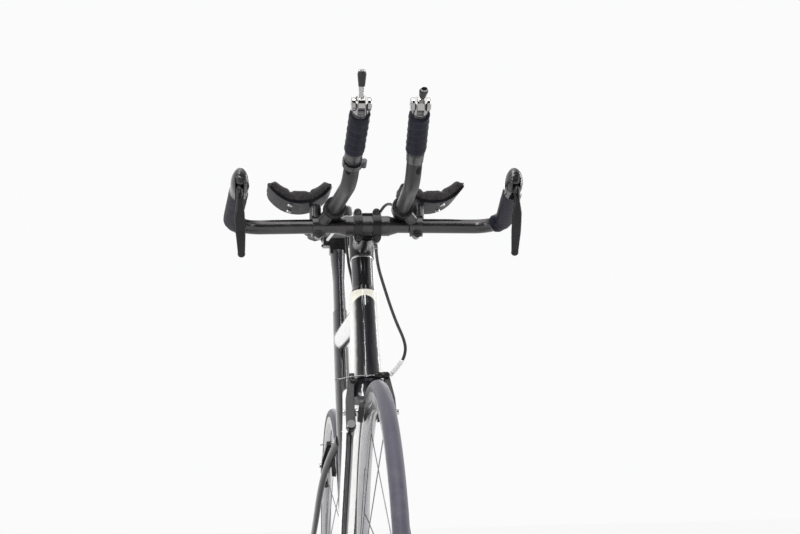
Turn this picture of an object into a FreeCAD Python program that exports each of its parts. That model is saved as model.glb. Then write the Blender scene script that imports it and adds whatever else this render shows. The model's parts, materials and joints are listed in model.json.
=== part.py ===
"""Time trial bicycle in millimetres.

+X points forward, +Y to the rider's left and +Z up. The origin is on the ground, midway between the axles.
The drive side is the rider's right. Steered pieces are built along the steering axis, whose own frame has its
origin at the foot of the perpendicular from the front axle, Z up the axis and X forward.
"""
import FreeCAD, Part
import math
import os
from types import SimpleNamespace

import Sketcher

V = FreeCAD.Vector
UP = V(0, 0, 1)
LEFT = V(0, 1, 0)
AHEAD = V(1, 0, 0)
SIDES = (1, -1)

SIZES = [
    ("wheelbase", 1000, "axle to axle"),
    ("wheel_radius", 334, "axle to the tread"),
    ("tyre_wall", 2.6, "tread and casing"),
    ("tyre_height", 17, "tread to the rim's edge, where the tyre sits"),
    ("rim_width", 19.5, "over the brake tracks"),
    ("rim_depth", 28, "edge to the inner face"),
    ("rim_wall", 1.9, "flange beside the tyre bead"),
    ("rim_well", 9.5, "edge to the floor of the well"),
    ("brake_track", 13.5, "height of the flat braking face"),
    ("valve_radius", 3, "valve stem"),
    ("valve_length", 38, "valve stem inside the rim"),
    ("front_spoke_count", 20, "radial spokes"),
    ("rear_spoke_count", 24, "crossed spokes"),
    ("spoke_width", 2.4, "bladed spoke, along the rim"),
    ("spoke_thickness", 1.2, "bladed spoke, across the rim"),
    ("flange_radius", 20, "hub flange"),
    ("flange_thickness", 3, "hub flange"),
    ("hub_radius", 12.5, "hub barrel"),
    ("bearing_radius", 11, "wheel bearing, outside"),
    ("bearing_width", 7, "wheel bearing"),
    ("front_flange_half", 33, "centre to the front hub flange"),
    ("rear_flange_left", 34, "centre to the left rear flange"),
    ("rear_flange_right", 19, "centre to the right rear flange"),
    ("axle_radius", 5, "hollow axle"),
    ("axle_stub_radius", 4.4, "axle end in the dropout"),
    ("skewer_radius", 2.4, "quick release rod"),
    ("running_fit", 0.05, "radial clearance of turning fits"),
    ("seat_gap", 0.3, "gap between faces that pass each other"),
    ("locknut_radius", 8.5, "axle shoulder beside the dropout"),
    ("locknut_length", 4, "axle shoulder"),
    ("front_spacing", 100, "between the fork ends"),
    ("rear_spacing", 130, "between the rear dropouts"),
    ("dropout_thickness", 7, "fork end and rear dropout"),
    ("dropout_radius", 14, "round of the dropout"),
    ("clamp_nut_radius", 9.2, "quick release nut"),
    ("cam_housing_radius", 8.5, "quick release cam housing"),
    ("clamp_nut_length", 14, "quick release nut"),
    ("cam_housing_length", 8, "quick release cam housing"),
    ("qr_cheek_radius", 6, "round cheeks of the quick release lever"),
    ("qr_lever_length", 48, "pivot to the lever's tip"),
    ("qr_lever_width", 13, "quick release lever"),
    ("head_angle", 72.5, "degrees from the ground"),
    ("fork_rake", 45, "axle ahead of the steering axis"),
    ("crown_clearance", 34, "tyre to the crown race, along the axis"),
    ("crown_depth", 28, "solid crown below the race"),
    ("steerer_radius", 14.3, "fork steerer"),
    ("blade_top_half", 31, "centre to the blade at the crown"),
    ("blade_width_top", 17, "fork blade, across"),
    ("blade_depth_top", 44, "fork blade, along the ride"),
    ("blade_width_tip", 11, "fork blade at the axle"),
    ("blade_depth_tip", 22, "fork blade at the axle"),
    ("race_height", 1.5, "crown to the head tube's lower end"),
    ("head_length", 150, "head tube"),
    ("head_width_top", 44, "head tube, across"),
    ("head_width_bottom", 52, "head tube at the lower bearing"),
    ("head_depth", 58, "head tube, along the ride"),
    ("head_bore", 18, "radius of the head tube's bore"),
    ("bearing_height", 9, "headset bearing"),
    ("cover_height", 11, "conical headset cover"),
    ("cover_radius", 21, "headset cover at the head tube"),
    ("spacer_radius", 17.5, "headset spacers"),
    ("spacer_height", 16, "one headset spacer"),
    ("spacer_count", 3, "headset spacers"),
    ("spacer_ring_height", 3, "thin bright ring on top of the spacers"),
    ("stem_height", 42, "steerer clamp of the stem"),
    ("stem_radius", 19.5, "steerer clamp of the stem"),
    ("stem_cap_height", 6, "top cap"),
    ("bar_ahead", 111.183, "bar clamp centre, ahead of the steerer clamp's middle"),
    ("bar_rise", 17.631, "bar clamp centre, above the steerer clamp's middle"),
    ("bar_clamp_radius", 15.9, "bar at the stem"),
    ("bar_radius", 11.1, "bar outside the clamp"),
    ("bar_clamp_half", 34, "half length of the thick middle"),
    ("bar_taper", 14, "length of the taper to the thin bar"),
    ("bar_drop", 4, "fall of the bar from its middle to the bend"),
    ("bar_sweep", 14, "bend ahead of the clamp"),
    ("bar_half_width", 210, "centre to the bend's corner"),
    ("horn_flare", -12, "horn tip outside the corner"),
    ("horn_reach", 160, "corner to the horn's tip"),
    ("horn_rise", 27, "horn tip above the corner"),
    ("bend_radius", 46, "bend from bar to horn"),
    ("tape_thickness", 2.6, "wound tape"),
    ("strap_offset", 14.5, "centre to each stem strap"),
    ("strap_width", 13, "stem strap"),
    ("strap_wall", 4.6, "stem strap round the bar"),
    ("strap_bolt_offset", 20.5, "bar centre to a strap bolt"),
    ("bolt_radius", 2.5, "small bolts"),
    ("bolt_head_radius", 4.3, "small bolt heads"),
    ("bolt_head_height", 4.5, "small bolt heads"),
    ("lever_body_length", 44, "brake lever body beyond the horn"),
    ("lever_body_half_width", 13, "brake lever body"),
    ("lever_body_half_height", 19, "brake lever body at its tallest"),
    ("lever_pivot_ahead", 12, "horn tip to the lever's pivot"),
    ("lever_slot", 12, "slot for the lever"),
    ("lever_root", 9.6, "lever inside the slot"),
    ("lever_pin_radius", 2.5, "pivot pin"),
    ("lever_drop", 96, "pivot to the blade's tip"),
    ("lever_blade_half", 7, "half width of the blade"),
    ("bracket_offset", 76, "centre to the aerobar bracket"),
    ("bracket_width", 20, "bracket along the bar"),
    ("bracket_wall", 5.5, "bracket round the bar and extension"),
    ("extension_radius", 11.1, "aerobar extension"),
    ("extension_wall", 2, "aerobar extension"),
    ("extension_rear_ahead", -27, "rear end of the extension, ahead of the bar"),
    ("extension_rear_y", 54.5, "rear end of the extension"),
    ("extension_rise", 22.6, "level stretch of the extension, above the bar"),
    ("extension_bend_ahead", 235, "corner of the extension, ahead of the bar"),
    ("extension_bend_y", 44.5, "corner of the extension"),
    ("extension_tip_ahead", 375, "front end of the extension, ahead of the bar"),
    ("extension_tip_y", 39.5, "front end of the extension"),
    ("extension_tip_rise", 92, "front end of the extension, above the bar"),
    ("extension_bend_radius", 130, "ski bend"),
    ("grip_length", 100, "taped stretch of the extension"),
    ("cup_front_ahead", 21, "front edge of the armrest cup, ahead of the bar"),
    ("cup_length", 104, "armrest cup"),
    ("cup_inner_y", 56, "inner lip of the cup"),
    ("cup_outer_y", 150, "outer lip of the cup"),
    ("cup_floor_y", 100, "lowest line of the cup"),
    ("cup_floor_rise", 35, "lowest line of the cup, above the bar"),
    ("cup_lip_rise", 63, "lips of the cup, above the bar"),
    ("cup_wall", 3, "armrest cup"),
    ("ring_width", 9, "clamp ring on the right extension"),
    ("ring_wall", 3.2, "clamp ring on the right extension"),
    ("pad_thickness", 13, "armrest foam"),
    ("shifter_radius", 10.6, "shifter body"),
    ("shifter_length", 26, "shifter body beyond the extension"),
    ("shifter_lever_length", 46, "pivot to the lever's tip"),
    ("shifter_lever_width", 9, "shifter lever"),
    ("seat_angle", 76, "degrees from the ground"),
    ("stay_clearance", 71, "tyre to the bottom bracket's centre, along the chainstay"),
    ("bb_drop", 70, "bottom bracket below the axles"),
    ("bb_shell_radius", 25, "bottom bracket shell"),
    ("bb_shell_width", 68, "bottom bracket shell"),
    ("bb_bore", 20.5, "radius of the shell's bore"),
    ("bb_cup_reach", 6.3, "cup outside the shell"),
    ("spindle_radius", 12, "crank spindle"),
    ("top_tube_drop", 29.924, "head tube's top end to the top tube's centre"),
    ("top_tube_rise", 2, "rise of the top tube to the seat tube"),
    ("top_tube_width", 37, "top tube, across"),
    ("top_tube_depth", 46, "top tube, upright"),
    ("down_tube_width", 36, "down tube, across"),
    ("down_tube_depth", 58, "down tube, deep"),
    ("seat_tube_width", 28, "seat tube, across"),
    ("seat_tube_depth", 60, "seat tube, along the ride"),
    ("seat_tube_rise", 54, "seat tube's top above the top tube's centre"),
    ("seatstay_join_rise", 258, "axle to where the seatstays leave the seat tube, upright"),
    ("seatstay_width", 13, "seatstay, across"),
    ("seatstay_depth", 23, "seatstay, along the ride"),
    ("chainstay_width", 14, "chainstay, across"),
    ("chainstay_depth", 28, "chainstay, upright"),
    ("post_width", 24, "seat post, across"),
    ("post_flare", 4, "growth of the post's half width at its top"),
    ("post_flare_length", 62, "flared stretch under the saddle clamp"),
    ("post_depth", 52, "seat post, along the ride"),
    ("post_below_saddle", 78, "saddle's top to the seat post's top"),
    ("post_insertion", 95, "seat post inside the frame"),
    ("post_fit", 0.15, "clearance of the post in the frame"),
    ("rail_radius", 3.5, "saddle rail"),
    ("rail_half", 22, "centre to each rail"),
    ("rail_below_saddle", 55, "saddle's top to the rails"),
    ("saddle_length", 268, "nose to tail"),
    ("saddle_nose_ahead", 168.861, "saddle nose ahead of the seat line at the rails"),
    ("saddle_top_z", 1040, "top of the saddle"),
    ("saddle_width", 132, "saddle across its tail"),
    ("saddle_nose_width", 40, "saddle across its nose"),
    ("saddle_shell_thickness", 5, "saddle shell"),
    ("saddle_padding", 20, "saddle padding"),
    ("boss_spacing", 64, "between the bottle bosses"),
    ("boss_hole", 2.5, "radius of the bottle boss holes"),
    ("boss_depth", 14, "bottle boss holes"),
    ("brake_below_rim", 32, "rim's edge to the brake pivots"),
    ("brake_half", 31.5, "centre to a brake pivot"),
    ("brake_stand", 22.5, "brake arm ahead of the pivot's root"),
    ("brake_arm_thickness", 10, "brake arm"),
    ("brake_arm_height", 88, "pivot to the arm's end"),
    ("brake_arm_half", 7.5, "half width of the arm"),
    ("brake_post_radius", 4, "brake pivot post"),
    ("brake_pad_rise", 23, "pivot to the pad"),
    ("brake_pad_gap", 1.5, "pad to the rim at rest"),
    ("brake_pad_depth", 8, "pad across the rim"),
    ("brake_pad_height", 10, "pad along the radius"),
    ("brake_pad_length", 50, "pad along the rim"),
    ("chain_pitch", 12.7, "pin to pin"),
    ("chain_line", 46.5, "centre to the chain"),
    ("chain_gap", 2.7, "between the chain's plates"),
    ("chain_plate", 1.1, "chain plate"),
    ("chain_half_height", 4.1, "chain plate at a pin"),
    ("tooth_thickness", 1.8, "sprocket tooth"),
    ("outer_teeth", 52, "outer chainring"),
    ("inner_teeth", 39, "inner chainring"),
    ("drive_teeth", 15, "rear cog that carries the chain"),
    ("jockey_teeth", 11, "jockey wheel"),
    ("cog_pitch", 3.95, "cog to cog"),
    ("ring_gap", 6.5, "chainring to chainring"),
    ("ring_bore", 58, "inner radius of the chainrings"),
    ("bolt_circle", 65, "radius of the chainring bolts"),
    ("crank_length", 172.5, "spindle to pedal axle"),
    ("crank_inner", 66, "centre to the crank's inner face"),
    ("crank_thickness", 14, "crank arm"),
    ("crank_hub_radius", 20, "crank at the spindle"),
    ("crank_tip_radius", 14, "crank at the pedal"),
    ("pedal_axle_radius", 4.5, "pedal axle"),
    ("pedal_axle_length", 58, "pedal axle outside the crank"),
    ("pedal_length", 84, "pedal body, along the ride"),
    ("pedal_width", 50, "pedal body, across"),
    ("pedal_height", 18, "pedal body"),
    ("guide_ahead", 6, "guide pulley ahead of the axle"),
    ("guide_below", 63, "guide pulley below the axle"),
    ("cage_length", 56, "guide pulley to tension pulley"),
    ("cage_angle", 68, "degrees of the cage below level"),
    ("hanger_drop", 28, "axle to the derailleur's bolt"),
    ("housing_radius", 2.4, "cable housing"),
    ("wire_radius", 0.8, "bare brake wire"),
    ("wire_rise", 83, "brake pivot to the wire across the wheel"),
    ("wire_stand", 34.2, "wire ahead of the pivot's root"),
    ("holder_radius", 4, "wire holder on the left arm"),
]

COG_TEETH = (25, 23, 21, 19, 17, 15, 14, 13, 12, 11)
DRIVE_COG = COG_TEETH.index(15)


class Dim:
    """A number together with the sheet expression that it comes from."""

    def __init__(self, value, text):
        self.value = float(value)
        self.text = text

    def __float__(self):
        return self.value

    def __add__(self, other):
        other = as_dim(other)
        return Dim(self.value + other.value, "(%s + %s)" % (self.text, other.text))

    def __sub__(self, other):
        other = as_dim(other)
        return Dim(self.value - other.value, "(%s - %s)" % (self.text, other.text))

    def __mul__(self, other):
        other = as_dim(other)
        return Dim(self.value * other.value, "(%s * %s)" % (self.text, other.text))

    def __truediv__(self, other):
        other = as_dim(other)
        return Dim(self.value / other.value, "(%s / %s)" % (self.text, other.text))

    def __neg__(self):
        return Dim(-self.value, "(0 - %s)" % self.text)


def as_dim(value):
    return value if isinstance(value, Dim) else Dim(value, repr(float(value)))


doc = FreeCAD.newDocument("TimeTrialBike")
sheet = doc.addObject("Spreadsheet::Sheet", "Sizes")
for row, (alias, value, note) in enumerate(SIZES, 1):
    sheet.set("A%d" % row, note)
    sheet.set("B%d" % row, str(value))
    sheet.setAlias("B%d" % row, alias)
doc.recompute()

# mm holds the sheet's numbers and cell the same numbers with their expressions.
mm = SimpleNamespace(**{alias: float(sheet.get(alias)) for alias, value, note in SIZES})
cell = SimpleNamespace(**{alias: Dim(sheet.get(alias), "Sizes." + alias) for alias, value, note in SIZES})
nodes = []

# Sizes that follow from the wheel, so that a larger wheel keeps its clearances.
cell.rim_edge_radius = cell.wheel_radius - cell.tyre_height
cell.brake_radius = cell.rim_edge_radius - cell.brake_below_rim
cell.crown_height = cell.wheel_radius + cell.crown_clearance
cell.head_bottom = cell.crown_height + cell.race_height
cell.chainstay_length = cell.wheel_radius + cell.stay_clearance
for alias in ("rim_edge_radius", "brake_radius", "crown_height", "head_bottom", "chainstay_length"):
    setattr(mm, alias, float(getattr(cell, alias)))


# Main points of the bicycle

half_base = cell.wheelbase / 2
rear_axle = V(-mm.wheelbase / 2, 0, mm.wheel_radius)
front_axle = V(mm.wheelbase / 2, 0, mm.wheel_radius)
bracket_run = math.sqrt(mm.chainstay_length ** 2 - mm.bb_drop ** 2)
bracket = V(rear_axle.x + bracket_run, 0, mm.wheel_radius - mm.bb_drop)
bracket_x = Dim(bracket.x, "(sqrt(%s ^ 2 - Sizes.bb_drop ^ 2) - Sizes.wheelbase / 2)" % cell.chainstay_length.text)
lean = math.radians(90 - mm.head_angle)
steer_up = V(-math.sin(lean), 0, math.cos(lean))
steer_ahead = V(math.cos(lean), 0, math.sin(lean))
steer_foot = front_axle - steer_ahead * mm.fork_rake
head_top = mm.head_bottom + mm.head_length
cover_top = head_top + mm.seat_gap + mm.cover_height
spacers_top = cover_top + mm.spacer_count * mm.spacer_height + mm.spacer_ring_height
stem_top = spacers_top + mm.stem_height
steer_place = FreeCAD.Placement(steer_foot, FreeCAD.Rotation(V(0, -1, 0), math.degrees(lean)))


def seat_line(z):
    """The point of the seat tube's centre line at height z."""
    return V(bracket.x - (z - bracket.z) / math.tan(math.radians(mm.seat_angle)), 0, z)


def along_steer(height, ahead=0, side=0):
    """A point at a height up the steering axis and a distance ahead of it."""
    return steer_foot + steer_up * height + steer_ahead * ahead + LEFT * side


# Places that follow the steerer, the bar, the head tube and the saddle

bar_middle = along_steer(stem_top - mm.stem_height / 2) + V(mm.bar_ahead, 0, mm.bar_rise)
mm.extension_rear_x = bar_middle.x + mm.extension_rear_ahead
mm.extension_bend_x = bar_middle.x + mm.extension_bend_ahead
mm.extension_tip_x = bar_middle.x + mm.extension_tip_ahead
mm.extension_z = bar_middle.z + mm.extension_rise
mm.extension_tip_z = bar_middle.z + mm.extension_tip_rise
mm.cup_front_x = bar_middle.x + mm.cup_front_ahead
mm.cup_floor_z = bar_middle.z + mm.cup_floor_rise
mm.cup_lip_z = bar_middle.z + mm.cup_lip_rise
mm.top_tube_head_z = along_steer(head_top).z - mm.top_tube_drop
mm.top_tube_seat_z = mm.top_tube_head_z + mm.top_tube_rise
mm.seat_tube_top = mm.top_tube_seat_z + mm.seat_tube_rise
mm.seatstay_join_z = mm.wheel_radius + mm.seatstay_join_rise
mm.post_top = mm.saddle_top_z - mm.post_below_saddle
mm.rail_z = mm.saddle_top_z - mm.rail_below_saddle
mm.saddle_nose_x = seat_line(mm.rail_z).x + mm.saddle_nose_ahead


def pitch_radius(teeth):
    return mm.chain_pitch / (2 * math.sin(math.pi / teeth))


# Helpers for bound bodies

def keep(obj):
    """Counts a finished object as a sub-part."""
    nodes.append(obj)
    return obj


def put(obj, base, tilt=None):
    """Binds an object's place, and a backward tilt of its upright axis, to the sheet."""
    angle = float(tilt) if tilt else 0
    obj.Placement = FreeCAD.Placement(V(*[float(part) for part in base]), FreeCAD.Rotation(V(0, -1, 0), angle))
    for axis, part in zip("xyz", base):
        obj.setExpression("Placement.Base." + axis, as_dim(part).text)
    if tilt:
        obj.setExpression("Placement.Rotation.Angle", tilt.text)
    return obj


def body(label):
    made = doc.addObject("PartDesign::Body", label)
    made.Label = label
    return made


def fix_point(sketch, geometry, end, x, y):
    """Ties a sketch point to its place, each coordinate bound to the sheet."""
    for kind, axis, part in (("DistanceX", -2, as_dim(x)), ("DistanceY", -1, as_dim(y))):
        if part.value == 0:
            sketch.addConstraint(Sketcher.Constraint("PointOnObject", geometry, end, axis))
        else:
            number = sketch.addConstraint(Sketcher.Constraint(kind, -1, 1, geometry, end, part.value))
            sketch.setExpression("Constraints[%d]" % number, part.text)


def outline(owner, role, corners):
    """A closed sketch. A corner (x, y) starts a straight side and (x, y, via_x, via_y) an arc through via."""
    sketch = owner.newObject("Sketcher::SketchObject", owner.Name + "Outline")
    plane = [part for part in owner.Origin.OriginFeatures if part.Role == role][0]
    sketch.AttachmentSupport = [(plane, "")]
    sketch.MapMode = "FlatFace"
    sides = []
    for corner, following in zip(corners, corners[1:] + corners[:1]):
        first = V(float(corner[0]), float(corner[1]), 0)
        last = V(float(following[0]), float(following[1]), 0)
        if len(corner) == 2:
            sides.append((sketch.addGeometry(Part.LineSegment(first, last)), 1, 2))
            continue
        via = V(float(corner[2]), float(corner[3]), 0)
        circle = Part.Arc(first, via, last).toShape().Curve
        centre = circle.Center
        turn = (via - first).cross(last - via).z
        begin, finish = (first, last) if turn > 0 else (last, first)
        start = math.atan2(begin.y - centre.y, begin.x - centre.x)
        stop = math.atan2(finish.y - centre.y, finish.x - centre.x)
        stop += 2 * math.pi if stop <= start else 0
        arc = Part.ArcOfCircle(Part.Circle(centre, UP, circle.Radius), start, stop)
        sides.append((sketch.addGeometry(arc), 1, 2) if turn > 0 else (sketch.addGeometry(arc), 2, 1))
    for side, following in zip(sides, sides[1:] + sides[:1]):
        sketch.addConstraint(Sketcher.Constraint("Coincident", side[0], side[2], following[0], following[1]))
    for side, corner in zip(sides, corners):
        fix_point(sketch, side[0], side[1], corner[0], corner[1])
        if len(corner) == 4:
            via = V(float(corner[2]), float(corner[3]), 0)
            mark = sketch.addGeometry(Part.Point(via), True)
            sketch.addConstraint(Sketcher.Constraint("PointOnObject", mark, 1, side[0]))
            fix_point(sketch, mark, 1, corner[2], corner[3])
    return sketch


def turned(label, corners, axis="Y"):
    """A body turned about its own Y or Z axis from (radius, along) corners."""
    made = body(label)
    profile = outline(made, "XY_Plane" if axis == "Y" else "XZ_Plane", corners)
    turn = made.newObject("PartDesign::Revolution", label + "Turn")
    turn.Profile = profile
    turn.ReferenceAxis = (profile, ["V_Axis"])
    turn.Angle = 360
    profile.Visibility = False
    return made


def plate(label, role, corners, thickness):
    """A body padded both ways from a sketch on one of its origin planes."""
    made = body(label)
    profile = outline(made, role, corners)
    pad = made.newObject("PartDesign::Pad", label + "Pad")
    pad.Profile = profile
    pad.SideType = "Symmetric"
    pad.setExpression("Length", as_dim(thickness).text)
    return made


def group(label, members):
    """Several bound bodies as one sub-part of separate solids."""
    made = doc.addObject("Part::Compound", label)
    made.Label = label
    made.Links = members
    return keep(made)


# Helpers for free shapes

def shaped(label, shape):
    """A sub-part whose shape is worked out from the sheet's numbers."""
    made = doc.addObject("Part::Feature", label)
    made.Label = label
    made.Shape = shape
    return keep(made)


def mirrored(shape):
    return shape.mirror(V(0, 0, 0), LEFT)


def both(shape):
    """A left piece and its mirror image."""
    return Part.makeCompound([shape, mirrored(shape)])


def fused(shapes):
    return shapes[0].multiFuse(shapes[1:]).removeSplitter()


def oval(centre, deep, half_depth, side, half_width):
    """An elliptical section with its longer axis along deep."""
    curve = Part.Ellipse(centre + deep * half_depth, centre + side * half_width, centre)
    return Part.Wire([curve.toShape()])


def limb(stations, steps=4):
    """A slim limb through (centre, half width, half thickness) stations, in short straight-sided lengths."""
    line = Part.BSplineCurve()
    line.interpolate([at for at, wide, thick in stations])
    places = [line.parameter(at) for at, wide, thick in stations]
    wires = []
    for number in range((len(stations) - 1) * steps + 1):
        low = min(number // steps, len(stations) - 2)
        share = number / steps - low
        at = places[low] + (places[low + 1] - places[low]) * share
        wide = stations[low][1] + (stations[low + 1][1] - stations[low][1]) * share
        thick = stations[low][2] + (stations[low + 1][2] - stations[low][2]) * share
        thick_way = LEFT.cross(V(*line.tangent(at)[0])).normalize()
        wires.append(oval(line.value(at), LEFT, wide, thick_way, thick))
    return Part.makeLoft(wires, True, True)


def aero_tube(stations):
    """A lofted tube through (centre, half width, half depth) stations, with its width across the bicycle."""
    wires = []
    last = len(stations) - 1
    for number, (centre, half_width, half_depth) in enumerate(stations):
        along = stations[min(number + 1, last)][0] - stations[max(number - 1, 0)][0]
        along = along.normalize()
        side = (LEFT - along * along.y).normalize()
        wires.append(oval(centre, side.cross(along), half_depth, side, half_width))
    return Part.makeLoft(wires, True)


def rounded_path(points, radius=None, share=0.45):
    """Straight runs joined by tangent arcs, as large as share of the shorter run allows or of one radius."""
    edges = []
    start = points[0]
    for before, corner, after in zip(points, points[1:], points[2:]):
        back = (before - corner).normalize()
        ahead = (after - corner).normalize()
        half_turn = (math.pi - back.getAngle(ahead)) / 2
        cut = share * min((before - corner).Length, (after - corner).Length)
        if radius:
            cut = radius * math.tan(half_turn)
        arc_radius = cut / math.tan(half_turn)
        bisector = (back + ahead).normalize()
        middle = corner + bisector * (arc_radius / math.cos(half_turn) - arc_radius)
        first = corner + back * cut
        second = corner + ahead * cut
        edges.append(Part.LineSegment(start, first).toShape())
        edges.append(Part.Arc(first, middle, second).toShape())
        start = second
    edges.append(Part.LineSegment(start, points[-1]).toShape())
    return Part.Wire(edges)


def piped(path, radius):
    """A round bar along a path."""
    first = path.Edges[0]
    start = first.valueAt(first.FirstParameter)
    heading = first.tangentAt(first.FirstParameter)
    ring = Part.Wire([Part.Circle(start, heading, radius).toShape()])
    return path.makePipeShell([ring], True, True)


def rod(start, end, radius):
    """A plain cylinder between two points."""
    return Part.makeCylinder(radius, (end - start).Length, start, end - start)


def block(low, high):
    size = high - low
    return Part.makeBox(size.x, size.y, size.z, low)


def prism(points, sweep):
    """A straight-sided outline swept along a vector."""
    return Part.Face(Part.makePolygon(points + points[:1])).extrude(sweep)


# Wheels

def tyre_corners():
    """A slick tyre: the casing stands on the rim's edges and is hollow inside."""
    edge = cell.rim_edge_radius
    outer = cell.rim_width / 2
    inner = outer - cell.tyre_wall
    return [
        (edge, outer, cell.wheel_radius, 0),
        (edge, -outer),
        (edge, -inner, cell.wheel_radius - cell.tyre_wall, 0),
        (edge, inner),
    ]


def rim_corners():
    """A shallow aero rim with flat brake tracks and a well under the tyre."""
    edge = cell.rim_edge_radius
    outer = cell.rim_width / 2
    lip = outer - cell.rim_wall
    track = edge - cell.brake_track
    inside = edge - cell.rim_depth
    nose = outer * 0.5
    well = edge - cell.rim_well
    return [
        (edge, lip),
        (edge, outer),
        (track, outer),
        (inside + 2, nose, inside, 0),
        (inside + 2, -nose),
        (track, -outer),
        (edge, -outer),
        (edge, -lip),
        (well, -nose),
        (well, nose),
    ]


def hub_corners(left, right):
    """A hub shell from its right end to its left, with two flanges and two bearing seats."""
    reach = cell.flange_thickness + cell.bearing_width
    flange = cell.flange_radius
    barrel = cell.hub_radius
    seat = cell.bearing_radius
    bore = cell.axle_radius + 3
    wall = cell.flange_thickness
    seat_left = left + reach - cell.bearing_width
    seat_right = right + reach - cell.bearing_width
    ends = seat + 2
    return [
        (seat, left + reach),
        (ends, left + reach),
        (ends, left + wall),
        (flange, left + wall),
        (flange, left),
        (barrel, left - 4),
        (barrel, -(right - 4)),
        (flange, -right),
        (flange, -(right + wall)),
        (ends, -(right + wall)),
        (ends, -(right + reach)),
        (seat, -(right + reach)),
        (seat, -seat_right),
        (bore, -seat_right),
        (bore, seat_left),
        (seat, seat_left),
    ]


def bearing_corners(start):
    """A sealed bearing beside its shoulder, running on the axle."""
    inner = cell.axle_radius + cell.running_fit
    return [
        (inner, start),
        (cell.bearing_radius, start),
        (cell.bearing_radius, start + cell.bearing_width),
        (inner, start + cell.bearing_width),
    ]


def spoke(inner, outer, turn):
    """One bladed spoke, a flat bar between a flange point and a rim point turned about the axle."""
    along = (outer - inner).normalize()
    flat = LEFT.cross(along).normalize()
    thin = along.cross(flat)
    wide = flat * (mm.spoke_width / 2)
    slim = thin * (mm.spoke_thickness / 2)
    corners = [inner + wide + slim, inner + wide - slim, inner - wide - slim, inner - wide + slim]
    made = prism(corners, outer - inner)
    made.rotate(V(0, 0, 0), LEFT, turn)
    return made


def spokes(count, flange_left, flange_right, cross):
    """Spokes from alternate flanges to the rim, each leading or trailing by the crossing angle."""
    count = int(count)
    root = mm.flange_radius - 1.5
    tip = mm.rim_edge_radius - mm.rim_depth + 3
    made = []
    for number in range(count):
        side = 1 if number % 2 == 0 else -1
        lead = cross if (number // 2) % 2 == 0 else -cross
        flange = flange_left if side > 0 else flange_right
        sweep = math.radians(lead)
        inner = V(root * math.sin(sweep), side * (flange + mm.flange_thickness / 2), root * math.cos(sweep))
        outer = V(0, side * mm.rim_width * 0.12, tip)
        made.append(spoke(inner, outer, 360 * (number + 0.5) / count))
    return Part.makeCompound(made)


def valve_corners():
    """A slim valve stem with its lock ring and cap, from the rim's inner face towards the axle."""
    root = cell.rim_edge_radius - cell.rim_depth - 0.1
    stem = cell.valve_radius
    tip = root - cell.valve_length
    return [
        (0, -root),
        (stem + 2.5, -root),
        (stem + 2.5, -(root - 3)),
        (stem, -(root - 3)),
        (stem, -(tip + 12)),
        (stem + 0.8, -(tip + 12)),
        (stem * 0.6, -tip),
        (0, -tip),
    ]


def wheel(name, centre_x, left, right, count, cross):
    """Tyre, rim with valve, spokes and hub of one wheel."""
    place = (centre_x, 0, cell.wheel_radius)
    keep(put(turned(name + "_tyre", tyre_corners()), place))
    rim = put(turned(name + "_rim_hoop", rim_corners()), place)
    valve = put(turned(name + "_valve", valve_corners(), "Z"), place)
    group(name + "_rim", [rim, valve])
    lacing = shaped(name + "_spokes", spokes(count, float(left), float(right), cross))
    put(lacing, place)
    shell = put(turned(name + "_hub_shell", hub_corners(left, right)), place)
    bearing_left = put(turned(name + "_bearing_left", bearing_corners(left + cell.flange_thickness)), place)
    right_start = -(right + cell.flange_thickness + cell.bearing_width)
    bearing_right = put(turned(name + "_bearing_right", bearing_corners(right_start)), place)
    group(name + "_hub", [shell, bearing_left, bearing_right])


def axle_corners(spacing, left_shoulder, right_shoulder):
    """A hollow axle: shoulders beside the dropouts and stubs inside them."""
    half = spacing / 2
    end = half + cell.dropout_thickness - 1
    bore = cell.skewer_radius + 0.3
    return [
        (bore, end),
        (cell.axle_stub_radius, end),
        (cell.axle_stub_radius, half),
        (cell.locknut_radius, half),
        (cell.locknut_radius, half - left_shoulder),
        (cell.axle_radius, half - left_shoulder),
        (cell.axle_radius, -(half - right_shoulder)),
        (cell.locknut_radius, -(half - right_shoulder)),
        (cell.locknut_radius, -half),
        (cell.axle_stub_radius, -half),
        (cell.axle_stub_radius, -end),
        (bore, -end),
    ]


def qr_pivot(spacing):
    """Distance from the wheel's centre plane to the quick release lever's pin."""
    return spacing / 2 + mm.dropout_thickness + mm.cam_housing_length + mm.qr_cheek_radius + mm.seat_gap


def skewer(spacing, centre):
    """The rod with its eye and pin, the clamping nut on the right and the cam housing on the left."""
    face = spacing / 2 + mm.dropout_thickness
    pivot = qr_pivot(spacing)
    far = face + mm.clamp_nut_length
    rod_shape = rod(V(0, -far + 1, 0), V(0, pivot, 0), mm.skewer_radius)
    eye = rod(V(0, pivot, -mm.skewer_radius), V(0, pivot, mm.skewer_radius), mm.skewer_radius + 1.6)
    half_pin = mm.qr_lever_width / 2
    pin = rod(V(0, pivot, -half_pin), V(0, pivot, half_pin), mm.bolt_radius * 0.8)
    bar = fused([rod_shape, eye, pin])
    hole = rod(V(0, -far - 1, 0), V(0, far, 0), mm.skewer_radius + 0.1)
    nut = rod(V(0, -face, 0), V(0, -far, 0), mm.clamp_nut_radius)
    blind = rod(V(0, -far + 1, 0), V(0, 0, 0), mm.skewer_radius + 0.1)
    housing = rod(V(0, face, 0), V(0, face + mm.cam_housing_length, 0), mm.cam_housing_radius)
    made = Part.makeCompound([bar, nut.cut(blind), housing.cut(hole)])
    made.translate(centre)
    return made


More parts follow.
